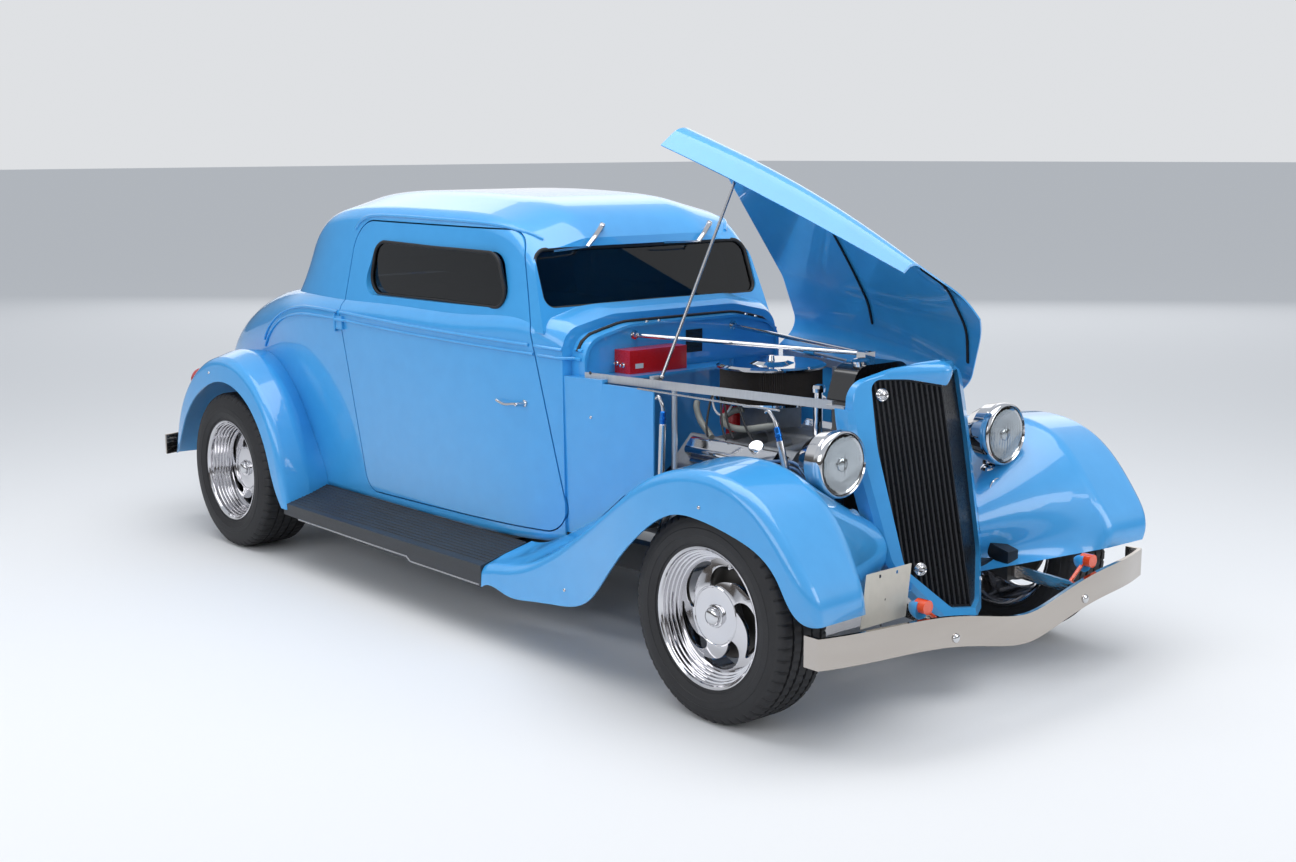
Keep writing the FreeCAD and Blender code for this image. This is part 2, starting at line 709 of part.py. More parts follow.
# ---------------------------------------------------------------- fenders and running boards
# Each section lies in the plane through (x, z) that rises at the angle; corners are (y, distance).
FRONT_PIVOT_X = FRONT_AXLE_X - 50.0
REAR_PIVOT_X = REAR_AXLE_X - 5.0
FENDER_PIVOT_Z = 270.0
FRONT_FENDER = [
    # angle, x, z, lip y, lip r, shoulder y, r, crown y, r, inner y, r
    (12, FRONT_PIVOT_X, FENDER_PIVOT_Z, 742, 462, 745, 496, 560, 482, 150, 303),
    (30, FRONT_PIVOT_X, FENDER_PIVOT_Z, 788, 428, 780, 500, 560, 492, 213, 276),
    (55, FRONT_PIVOT_X, FENDER_PIVOT_Z, 795, 372, 786, 492, 560, 500, 236, 326),
    (80, FRONT_PIVOT_X, FENDER_PIVOT_Z, 795, 336, 786, 466, 560, 482, 330, 300),
    (105, FRONT_PIVOT_X, FENDER_PIVOT_Z, 790, 318, 780, 440, 560, 458, 370, 292),
    (90, 1000, 0, 780, 405, 768, 590, 570, 632, 400, 545),
    (90, 860, 0, 765, 262, 752, 490, 565, 570, 440, 548),
    (90, 690, 0, 752, 207, 736, 385, 590, 440, 455, 495),
    (90, 540, 0, 746, 188, 733, 310, 600, 350, 470, 412),
    (90, 400, 0, 742, 180, 733, 268, 620, 300, 500, 335),
    (90, 264, 0, 741, 178, 737, 244, 640, 275, 530, 300),
]
REAR_FENDER = [
    (-6, REAR_PIVOT_X, FENDER_PIVOT_Z, 738, 425, 732, 460, 640, 468, 520, 452),
    (25, REAR_PIVOT_X, FENDER_PIVOT_Z, 752, 380, 746, 452, 640, 470, 520, 425),
    (55, REAR_PIVOT_X, FENDER_PIVOT_Z, 757, 402, 750, 484, 640, 506, 520, 450),
    (85, REAR_PIVOT_X, FENDER_PIVOT_Z, 757, 410, 750, 500, 640, 530, 515, 510),
    (115, REAR_PIVOT_X, FENDER_PIVOT_Z, 754, 404, 747, 496, 635, 528, 505, 515),
    (145, REAR_PIVOT_X, FENDER_PIVOT_Z, 745, 425, 738, 502, 620, 524, 480, 500),
    (165, REAR_PIVOT_X, FENDER_PIVOT_Z, 725, 480, 715, 540, 600, 552, 440, 520),
    (177, REAR_PIVOT_X, FENDER_PIVOT_Z, 690, 590, 680, 612, 585, 604, 420, 545),
]
SHOULDER_R = 36.0
CROWN_R = 70.0


def sheet_section(points, thickness, place):
    """A closed thin section: a rounded open line and the same line moved in by the thickness."""
    outer = rounded_edges([(place(u, v), r) for u, v, r in points], False)
    lifted = []
    count = len(points)
    for i in range(count):
        u, v, r = points[i]
        u0, v0 = points[max(i - 1, 0)][:2]
        u2, v2 = points[min(i + 1, count - 1)][:2]
        n1 = V(v0 - v, u - u0, 0)
        n2 = V(v - v2, u2 - u, 0)
        n1 = n2 if n1.Length == 0 else n1
        n2 = n1 if n2.Length == 0 else n2
        n1.normalize()
        n2.normalize()
        shift = (n1 + n2) * (thickness / (1.0 + n1.dot(n2)))
        lifted.append((u + shift.x, v + shift.y, max(r - thickness, 1.0)))
    inner = rounded_edges([(place(u, v), r) for u, v, r in reversed(lifted)], False)
    start = Part.makeLine(inner[-1].Vertexes[-1].Point, outer[0].Vertexes[0].Point)
    end = Part.makeLine(outer[-1].Vertexes[-1].Point, inner[0].Vertexes[0].Point)
    return Part.Wire(outer + [end] + inner + [start])


def build_fender(table):
    wires = []
    for angle, x, z, y_lip, r_lip, y_sh, r_sh, y_cr, r_cr, y_in, r_in in table:
        rise = math.radians(angle)
        along = V(math.cos(rise), 0, math.sin(rise))
        origin = V(x, 0, z)
        points = [(y_lip, r_lip, 0), (y_sh, r_sh, SHOULDER_R), (y_cr, r_cr, CROWN_R), (y_in, r_in, 0)]
        wires.append(sheet_section(points, SHEET, lambda y, r: origin + V(0, y, 0) + along * r))
    fender = Part.makeLoft(wires, True, False)
    return fender


BOARD_IN_Y = 552.0
BOARD_IN_Z = 300.0
BOARD_T = 22.0
RUNNING_BOARD = [
    # x, outer y, outer top z, outer bottom z
    (263.7, 741, 250, 178),
    (-400, 738, 248, 190),
    (-1075, 728, 246, 202),
]


def build_running_board():
    wires = []
    for x, y, z1, z0 in RUNNING_BOARD:
        points = [(BOARD_IN_Y, BOARD_IN_Z), (y, z1), (y, z0), (y - 10, z0), (y - 12, z1 - BOARD_T),
                  (BOARD_IN_Y, BOARD_IN_Z - BOARD_T)]
        corners = [V(x, u, w) for u, w in points]
        wires.append(Part.makePolygon(corners + [corners[0]]))
    return Part.makeLoft(wires, True, True)


# ---------------------------------------------------------------- nose: grille, radiator, hood
# The bars' face is a V in plan: its ridge leans back going up and each half sweeps back from it.
RIDGE_X = 1565.0        # ridge at RIDGE_Z
RIDGE_Z = 909.0
RIDGE_LEAN = 0.2016     # back per unit of height
FACE_SWEEP = 0.57       # back per unit across
SHELL_WALL = 14.0
SHELL_LIP = 12.0        # shell's front edge proud of the bars' face
SHELL_DEPTH = 50.0
SHELL = [
    # y, z, radius: the shell's left half from below
    (0, 232, 0),
    (86, 236, 20),
    (214, 405, 90),
    (263, 790, 400),
    (256, 930, 70),
    (120, 972, 200),
    (0, 985, 0),
]
GRILLE_OPENING = [
    (0, 272, 0),
    (62, 274, 40),
    (172, 392, 80),
    (203, 740, 500),
    (197, 936, 30),
    (100, 934, 150),
    (0, 912, 0),
]
HOOD_NOSE_X = 1541.0    # hood's front edge at the middle
HOOD_SWEEP = 0.4        # and its sweep back per unit across
HOOD_REST = 30.0        # ledge of the shell under the hood's front edge
REST_Z = 850.0
# Peak over the grille: height, tip x, half width and how far the sides stand off the bars' face
NOSE_PEAK = [
    (908, 1576, 205, 3),
    (932, 1591, 205, 3),
    (956, 1598, 200, 3),
    (974, 1582, 170, 2),
    (990, 1548, 120, 2),
]
NOSE_R = 30.0
NOSE_T = 16.0
BARS = 15               # each side of the ridge
BAR_W = 5.0
BAR_DEPTH = 14.0
BAR_SETBACK = 4.0
BAR_RIM = 6.0


def ridge_x(z):
    return RIDGE_X - RIDGE_LEAN * (z - RIDGE_Z)


def grille_face(depth):
    """Turns (y, z) on the left half of the bars' face, moved back by depth, into a point."""
    return lambda y, z: V(ridge_x(z) - FACE_SWEEP * y - depth, y, z)


def half_inset(half, by):
    """A left half outline moved in by a distance, still closed on the middle plane."""
    whole = grown(pairs(half[1:-1]), -by)
    count = len(half) - 2
    return [(0, half[0][1] + by, 0)] + whole[:count] + [(0, half[-1][1] - by, 0)]


def grille_slab(half, front, rear):
    """Both halves of a plate between two depths behind the bars' face."""
    loft = Part.makeLoft([outline(half, grille_face(front)), outline(half, grille_face(rear))], True, True)
    return loft.fuse(mirrored(loft))


def behind_nose(offset):
    """Everything behind the hood's swept front edge, moved back by offset."""
    x = HOOD_NOSE_X - offset
    reach = 500.0
    side = x - HOOD_SWEEP * reach
    corners = [(x, 0, 0), (side, reach, 0), (300, reach, 0), (300, -reach, 0), (side, -reach, 0)]
    return plan_prism(corners, 0, 1400)


def nose_peak():
    """The peaked brow over the grille, a V of sheet through level sections."""
    wires = []
    for z, tip, half, proud in NOSE_PEAK:
        side = ridge_x(z) - FACE_SWEEP * half + proud
        ahead = [(V(side, half, z), 0), (V(tip, 0, z), NOSE_R), (V(side, -half, z), 0)]
        behind = [(V(side - NOSE_T, -half, z), 0), (V(ridge_x(z) - NOSE_T, 0, z), NOSE_R),
                  (V(side - NOSE_T, half, z), 0)]
        wires.append(Part.Wire(rounded_edges(ahead + behind)))
    return Part.makeLoft(wires, True, False)


def build_grille_shell():
    front = outline(half_inset(SHELL, SHELL_LIP), grille_face(-SHELL_LIP))
    edge = outline(SHELL, grille_face(0))
    rear = outline(SHELL, grille_face(SHELL_DEPTH))
    half = Part.makeLoft([front, edge], True, True).fuse(Part.makeLoft([edge, rear], True, True))
    solid = half.fuse(mirrored(half)).fuse(nose_peak().common(grille_slab(half_inset(SHELL, 3), -60, SHELL_DEPTH)))
    hollow = grille_slab(half_inset(SHELL, SHELL_WALL), BAR_SETBACK + BAR_DEPTH, SHELL_DEPTH + 10)
    top = box(300, 1700, -400, 400, REST_Z, 1100)
    over = top.cut(grille_slab(half_inset(SHELL, HOOD_SHEET + 5), -60, SHELL_DEPTH + 10))
    solid = solid.cut(hollow).cut(grille_slab(GRILLE_OPENING, -80, SHELL_DEPTH))
    return solid.cut(over.common(behind_nose(0))).cut(top.common(behind_nose(HOOD_REST)))


def build_grille_bars():
    inside = half_inset(GRILLE_OPENING, SEAT_GAP)
    rear = BAR_SETBACK + BAR_DEPTH
    ring = grille_slab(inside, BAR_SETBACK, rear)
    ring = ring.cut(grille_slab(half_inset(GRILLE_OPENING, BAR_RIM), 0, rear + 10))
    plate = grille_slab(inside, BAR_SETBACK, rear)
    pitch = max(y for y, z, r in GRILLE_OPENING) / BARS
    slabs = [box(1300, 1800, -BAR_W / 2, BAR_W / 2, 200, 1000)]
    for i in range(1, BARS):
        slabs += both_sides(box(1300, 1800, i * pitch - BAR_W / 2, i * pitch + BAR_W / 2, 200, 1000))
    return fused([ring] + [plate.common(slab) for slab in slabs])


RADIATOR_X = (1282.0, 1334.0)
RADIATOR_HALF = 165.0
RADIATOR_Z = (395.3, 850.0)
SHROUD_R = 156.0
STAY_TOP = V(1265, 0, 978)
RADIATOR_EARS = [
    # front x, outer y, z: they run out to the grille shell
    (1490, 226, 500),
    (1440, 256, 700),
]


def build_radiator():
    core = box(RADIATOR_X[0], RADIATOR_X[1], -RADIATOR_HALF, RADIATOR_HALF, RADIATOR_Z[0], RADIATOR_Z[1])
    tank = front_prism(pairs([(150, 840, 10), (112, 955, 60)]), RADIATOR_X[0] - 40, RADIATOR_X[1])
    shroud = Part.makeCylinder(SHROUD_R, 50, V(RADIATOR_X[0] - 50, 0, 650), V(1, 0, 0))
    shroud = shroud.cut(Part.makeCylinder(SHROUD_R - 8, 42, V(RADIATOR_X[0] - 50, 0, 650), V(1, 0, 0)))
    ears = [box(RADIATOR_X[0], x, RADIATOR_HALF - 5, y, z, z + 6) for x, y, z in RADIATOR_EARS]
    return fused([core, tank, shroud] + [side for ear in ears for side in both_sides(ear)])


def build_stay_rods():
    foot = box(STAY_TOP.x - 18, STAY_TOP.x + 18, -22, 22, 955 + SEAT_GAP, STAY_TOP.z + 6)
    return fused([foot] + both_sides(rod(V(FIREWALL_X + FLOOR_T - 5, 225, 985), STAY_TOP, 7)))


HOOD = [
    # x, side y, side bottom z, shoulder z, shoulder radius, top y, top z
    (414, 486, 900, 1016, 80, 270, 1060),
    (700, 436, 897, 1010, 80, 230, 1052),
    (1080, 351, 892, 986, 78, 175, 1032),
    (1440, 259, 886, 934, 70, 95, 1003),
    (1560, 228, 884, 915, 60, 66, 986),
]
HOOD_TOP_R = 220.0
HOOD_GAP = 3.0


def build_hood():
    """The one-piece hood in its closed place."""
    wires = []
    for x, y, z0, z_sh, r_sh, y_top, z_top in HOOD:
        left = [(y, z0, 0), (y, z_sh, r_sh), (y_top, z_top, HOOD_TOP_R)]
        right = [(-u, v, r) for u, v, r in reversed(left)]
        wires.append(sheet_section(left + right, HOOD_SHEET, lambda u, v: V(x, u, v)))
    skin = Part.makeLoft(wires, True, False)
    skin = skin.common(behind_nose(HOOD_GAP))
    return fused([skin] + [hood_knuckle(x) for x in HOOD_HINGES_X]).cut(hood_pin(PIN_CLEARANCE))


HINGE_LIFT = 10.0
HOOD_PIN_R = 5.0
HOOD_BARREL_R = 9.0
HOOD_HINGES_X = (640.0, 900.0, 1260.0)
HOOD_HINGE_LONG = 60.0
RAIL_START_X = 470.0
RAIL_END_X = 1355.0
RAIL_T = 8.0
RAIL_TALL = 26.0


def axis_point(x):
    a, b = hood_axis()
    return a + (b - a) * ((x - a.x) / (b.x - a.x))


def hood_side(x):
    """The hood's half width between the rows of its table."""
    for low, high in zip(HOOD, HOOD[1:]):
        if x <= high[0]:
            return low[1] + (high[1] - low[1]) * (x - low[0]) / (high[0] - low[0])


def hood_knuckle(x):
    """A hinge barrel on the hood's left edge with the leaf that carries it."""
    a = axis_point(x - HOOD_HINGE_LONG / 2)
    b = axis_point(x + HOOD_HINGE_LONG / 2)
    barrel = rod(a, b, HOOD_BARREL_R)
    leaf = box(a.x + 4, b.x - 4, a.y, hood_side(b.x - 4) - 1, a.z, a.z + 14)
    return barrel.fuse(leaf)


def hood_pin(clearance):
    return rod(axis_point(RAIL_START_X + 6), axis_point(RAIL_END_X - 6), HOOD_PIN_R + clearance)


def hood_axis():
    return RAIL_REAR + V(0, 0, HINGE_LIFT), RAIL_FRONT + V(0, 0, HINGE_LIFT)


def opened(shape):
    """The hood, or what rides on it, turned from closed to its parked place."""
    a, b = hood_axis()
    shape = shape.copy()
    shape.rotate(a, b - a, -HOOD_OPEN)
    return shape


def build_hood_rails():
    """The left rail with its strut, ledge and the hood's hinge pin, and the right rail without a pin."""
    span = RAIL_FRONT - RAIL_REAR
    wires = []
    for x in (RAIL_START_X, RAIL_END_X):
        point = RAIL_REAR + span * ((x - RAIL_REAR.x) / span.x)
        a = point + V(0, -RAIL_T / 2, -RAIL_TALL)
        wires.append(Part.makePolygon([a, a + V(0, RAIL_T, 0), a + V(0, RAIL_T, RAIL_TALL), a + V(0, 0, RAIL_TALL), a]))
    bar = Part.makeLoft(wires, True, True)
    strut = rod(V(800, 366, 860), V(800, 366, 336.6), 9)
    ledge = box(1340, 1410, 236, 255, 846, 856)
    stop_x = PROP_FOOT.x - PROP_BALL_R - SEAT_GAP
    stop = box(stop_x - 18, stop_x, -PROP_FOOT.y - PROP_BALL_R, 394, 872, 890)
    right = mirrored(fused([bar, strut, ledge, stop]))
    stands = []
    for x in (500, 730, 1080, 1330):
        p = axis_point(x)
        stands.append(box(p.x - 6, p.x + 6, p.y - 3, p.y + 3, p.z - HINGE_LIFT - 4, p.z))
    left = fused([bar, strut, ledge, hood_pin(0)] + stands)
    return left, right


def prop_geometry():
    """Pivot on the hood, foot on the right rail and the fold axis, all with the hood open."""
    a, b = hood_axis()
    span = b - a
    turn = FreeCAD.Rotation(span, -HOOD_OPEN)
    pivot = a + turn.multVec(V(PROP_PIVOT[0], -PROP_PIVOT[1], PROP_PIVOT[2]) - a)
    folded = turn.multVec(PROP_FOLDED)
    axis = (PROP_FOOT - pivot).cross(folded).normalize()
    return pivot, PROP_FOOT, axis


PROP_PIVOT = (720, 414, 950)
PROP_FOLDED = V(762, 198, -19)           # the rod's way when it lies in the closed hood
PROP_FOOT = V(741, -366, 887.4)          # middle of the ball at its foot, just inboard of the rail
PROP_R = 5.0
PROP_BALL_R = 8.0
PROP_EYE_R = 9.0
PROP_EYE_LONG = 14.0
PROP_PIN_R = 3.5


def build_prop_rod():
    """The prop rod with a ball at its foot and an eye that turns on the hood's pin."""
    pivot, foot, axis = prop_geometry()
    eye = Part.makeCylinder(PROP_EYE_R, PROP_EYE_LONG, pivot - axis * (PROP_EYE_LONG / 2), axis)
    bore = Part.makeCylinder(PROP_PIN_R + PIN_CLEARANCE, 40, pivot - axis * 20, axis)
    start = pivot + (foot - pivot).normalize() * (PROP_EYE_R - 1)
    return fused([rod(start, foot, PROP_R), Part.makeSphere(PROP_BALL_R, foot), eye]).cut(bore)


def with_prop_pin(hood):
    """The opened hood with the pin that the prop rod's eye turns on, out from the right flange."""
    pivot, foot, axis = prop_geometry()
    start = pivot - axis * (PROP_EYE_LONG / 2 + 2)
    pin = Part.makeCylinder(PROP_PIN_R, 60, start, axis)
    stub = min(pin.cut(hood).Solids, key=lambda s: s.distToShape(Part.Vertex(start))[0])
    return hood.fuse(stub).removeSplitter()


# ---------------------------------------------------------------- lamps, bumpers, small pieces
LAMP = V(1508, 371, 717)
LAMP_R = 95.0
LAMP_SHAPE = [(0, 0), (0, 90), (4, 95), (-18, 96), (-60, 88), (-105, 62), (-135, 26), (-142, 0)]


def build_headlamp():
    bucket = turned([(a, r) for a, r in LAMP_SHAPE], LAMP, V(1, 0, 0))
    stem = rod(LAMP + V(-60, 0, -80), LAMP + V(-70, 20, -190), 15)
    return bucket.fuse(stem)


def build_lens():
    return turned([(SEAT_GAP, 0), (SEAT_GAP, 87), (8, 80), (14, 45), (16, 0)], LAMP, V(1, 0, 0))


FRONT_BUMPER = [
    # y, x, z of the bar's middle
    (-742, 1772, 298),
    (-560, 1828, 303),
    (-300, 1868, 296),
    (-110, 1880, 262),
    (0, 1884, 250),
    (110, 1880, 262),
    (300, 1868, 296),
    (560, 1828, 303),
    (742, 1772, 298),
]
REAR_BUMPER = [
    (-700, -2170, 330),
    (-420, -2235, 330),
    (0, -2250, 330),
    (420, -2235, 330),
    (700, -2170, 330),
]
BUMPER_TALL = 86.0
BUMPER_T = 12.0
CURL = 46.0             # the front bar's ends turned back


def bumper_bar(table):
    wires = []
    for y, x, z in table:
        a = V(x - BUMPER_T / 2, y, z - BUMPER_TALL / 2)
        up = V(0, 0, BUMPER_TALL)
        wires.append(Part.makePolygon([a, a + V(BUMPER_T, 0, 0), a + V(BUMPER_T, 0, 0) + up, a + up, a]))
    y, x, z = max(table)
    curl = box(x - CURL, x + BUMPER_T / 2, y - BUMPER_T, y, z - BUMPER_TALL / 2, z + BUMPER_TALL / 2)
    return fused([Part.makeLoft(wires, True, False)] + (both_sides(curl) if x > 0 else []))


def build_front_bumper():
    iron = bar_along([(RAIL_NOSE_X + SEAT_GAP, 285, 320), (1864, 300, 300)], 12, 36)
    return fused([bumper_bar(FRONT_BUMPER)] + both_sides(iron))


def build_rear_bumper():
    iron = bar_along([(-2238, 340, 330), (RAIL_TAIL_X - SEAT_GAP, 340, 352)], 12, 36)
    return fused([bumper_bar(REAR_BUMPER)] + both_sides(iron))


ENGINE_X = (690.0, 1170.0)
ENGINE_HALF = [
    # y, z, radius: sump, crankcase, head and its rocker face, valley
    (0, 240, 0),
    (110, 240, 20),
    (110, 330, 20),
    (150, 400, 20),
    (290, 590, 20),
    (190, 690, 20),
    (90, 620, 20),
    (0, 640, 0),
]
PLENUM = [(-62, 600, 0), (-50, 705, 14), (50, 705, 14), (62, 600, 0)]
RUNNERS_X = (790.0, 880.0, 990.0, 1080.0)
RUNNER_R = 21.0
PULLEYS = [
    # rear x, width, radius, z
    (1184, 34, 84, 380),
    (1190, 30, 80, 655),
]
CRANK_Z = 400.0
AIR_X = 860.0
AIR_Z = 790.0           # top of the carburettor


def build_engine():
    """Block, heads and sump in one, with the intake, carburettor, pulleys, gearbox and mounts."""
    block = front_prism(ENGINE_HALF, ENGINE_X[0], ENGINE_X[1])
    plenum = front_prism(PLENUM, ENGINE_X[0] + 60, ENGINE_X[1] - 40)
    runners = [rod(V(x, 30, 672), V(x, 165, 660), RUNNER_R) for x in RUNNERS_X]
    carburettor = box(AIR_X - 62, AIR_X + 62, -78, 78, 700, AIR_Z)
    bell = Part.makeCylinder(170, 100, V(ENGINE_X[0] - 95, 0, CRANK_Z), V(1, 0, 0))
    gearbox = Part.makeCylinder(108, 1050, V(-400, 0, CRANK_Z), V(1, 0, 0))
    mount = box(820, 880, 100, 330, 300, 330)
    drive = []
    for x, width, radius, z in PULLEYS:
        disc = turned([(0, 0), (0, radius), (width / 2, radius - 10), (width, radius), (width, radius - 12),
                       (width - 12, radius - 22), (width - 12, 0)], V(x, 0, z), V(1, 0, 0))
        drive += [disc, rod(V(ENGINE_X[1] - 20, 0, z), V(x + width, 0, z), 26)]
    pieces = both_sides(block) + both_sides(mount) + [plenum, carburettor, bell, gearbox] + drive
    return fused(pieces + [side for runner in runners for side in both_sides(runner)])


HOSE_R = 19.0
HOSE_WAY = [V(1110, 30, 690), V(1165, 60, 800), V(1250, 85, 862)]


def build_hose():
    """The upper radiator hose, from the intake's neck to the radiator's top tank."""
    runs = [rod(a, b, HOSE_R) for a, b in zip(HOSE_WAY, HOSE_WAY[1:])]
    return fused(runs + [Part.makeSphere(HOSE_R, HOSE_WAY[1])])


DISTRIBUTOR = V(738, -50, 625)
DISTRIBUTOR_SHAPE = [(0, 0), (0, 26), (70, 26), (76, 44), (112, 46), (120, 38), (150, 34), (154, 0)]
FILLER = V(1096, -30, 695)
FILLER_SHAPE = [(0, 0), (0, 15), (150, 15), (150, 22), (162, 23), (172, 19), (176, 0)]


def export(name, solids):
    os.makedirs("parts", exist_ok=True)
    shape = Part.makeCompound([s for piece in solids for s in piece.Solids])
    shape.translate(V(-MID_X, 0, 0))
    shape.exportStep("parts/%s.step" % name)
    kinds = [s.isValid() and s.isClosed() for s in shape.Solids]
    print(name, len(shape.Solids), all(kinds), round(shape.Volume / 1e6, 2))


# ---------------------------------------------------------------- interior, exhaust and small pieces
COVER = [(-41, 0, 0), (-41, 10, 0), (-35, 12, 0), (-31, 58, 18), (31, 58, 18), (35, 12, 0), (41, 10, 0), (41, 0, 0)]
COVER_X = (775.0, 1160.0)
CLEANER_R = 178.0
LID_SHAPE = [(0, 0), (0, CLEANER_R), (6, CLEANER_R), (12, CLEANER_R - 10), (10, 74), (18, 52), (18, 12), (34, 9), (34, 0)]
PLEAT_TALL = 103.0
PLEAT_R = 166.0
CLEANER_BASE_T = 8.0


def build_engine_chrome():
    """Rocker covers along the heads, the round lid and base of the air cleaner, and the filler tube."""
    cover = front_prism(COVER, COVER_X[0], COVER_X[1])
    cover.rotate(V(0, 0, 0), V(1, 0, 0), -45)
    cover.translate(V(0, 245, 635.5))
    base_z = AIR_Z + SEAT_GAP
    base = Part.makeCylinder(CLEANER_R, CLEANER_BASE_T, V(AIR_X, 0, base_z))
    lid = turned(LID_SHAPE, V(AIR_X, 0, base_z + CLEANER_BASE_T + PLEAT_TALL + 2 * SEAT_GAP), V(0, 0, 1))
    return both_sides(cover) + [lid, base, turned(FILLER_SHAPE, FILLER, V(0, 0, 1))]


def build_air_filter():
    return Part.makeCylinder(PLEAT_R, PLEAT_TALL, V(AIR_X, 0, AIR_Z + CLEANER_BASE_T + 2 * SEAT_GAP))


def build_exhaust():
    head = box(ENGINE_X[0] + 40, ENGINE_X[1] - 50, 235, 332, 540, 575)
    points = [V(ENGINE_X[0] + 60, 305, 545), V(600, 250, 300), V(500, 230, 225), V(-1100, 230, 225)]
    pipe = [rod(points[i], points[i + 1], 24) for i in range(3)]
    joints = [Part.makeSphere(24, p) for p in points[1:3]]
    muffler = rod(V(100, 230, 225), V(-400, 230, 225), 58)
    return fused([head] + pipe + joints + [muffler])


def build_seat():
    """Bench seat, cushion and back in one, notched over the shaft tunnel."""
    base = FLOOR_TOP_Z + SEAT_GAP
    profile = [(-425, base, 15), (-425, 520, 45), (-790, 495, 30), (-890, 930, 45), (-1005, 930, 45), (-960, base, 15)]
    notch = box(-1080, -400, -SHAFT_HALF - 1, SHAFT_HALF + 1, 0, SHAFT_TOP_Z + 1)
    return side_prism(profile, -450, 450).cut(notch)


def build_dashboard():
    bar = side_prism([(150, 860, 20), (150, 960, 30), (260, 985, 10), (260, 860, 10)], -600, 600)
    return bar.common(tub(WALL + SEAT_GAP))


WHEEL_CENTRE = V(-150, 290, 880)


def build_steering_wheel():
    direction = V(500, 0, -290).normalize()
    ring = Part.makeTorus(185, 13, WHEEL_CENTRE, direction)
    spokes = []
    for angle in (0, 120, 240):
        side = V(0, 1, 0)
        up = direction.cross(side)
        tip = side * math.cos(math.radians(angle)) + up * math.sin(math.radians(angle))
        spokes.append(rod(WHEEL_CENTRE, WHEEL_CENTRE + tip * 185, 9))
    column = rod(WHEEL_CENTRE - direction * 10, WHEEL_CENTRE + direction * 690, 22)
    return fused([ring] + spokes + [column])


def build_door_handle():
    lever = rod(V(178, 574, 765), V(302, 548, 765), 7)
    post = rod(V(290, 500, 765), V(290, 549, 765), 11)
    return fused([lever, post])


def build_tail_lamp():
    lamp = turned([(0, 0), (0, 44), (8, 50), (40, 46), (70, 26), (78, 0)], V(-2005, 600, 625), V(1, 0, 0))
    return lamp.fuse(rod(V(-1955, 600, 615), V(-1955, 600, 510), 12))


def build_turn_signal():
    lamp = Part.makeCylinder(20, 36, V(1806, 381, 372), V(1, 0, 0))
    return lamp.fuse(rod(V(1815, 381, 372), V(1815, 300, 312), 6))


def build_plate():
    plate = box(1790, 1793, -460, -300, 345, 480)
    return plate.fuse(box(1792, 1860, -390, -370, 345, 352)).fuse(box(1838, 1846, -390, -370, 300, 352))


def build_wiper():
    arm = rod(V(238, 200, 1296), V(262, 420, 1262), 5)
    return arm.fuse(rod(V(205, 206, 1300), V(242, 206, 1295), 8))


def outside(piece, body):
    """What is left of a piece, cut where it runs into the body it stands on, on the outer side."""
    return max(piece.cut(body).Solids, key=lambda s: s.Volume)


def build_ignition_box():
    low = LEDGE_Z + SEAT_GAP
    return box(FIREWALL_X + FLOOR_T + SEAT_GAP, 520, -310, -60, low, low + 77)


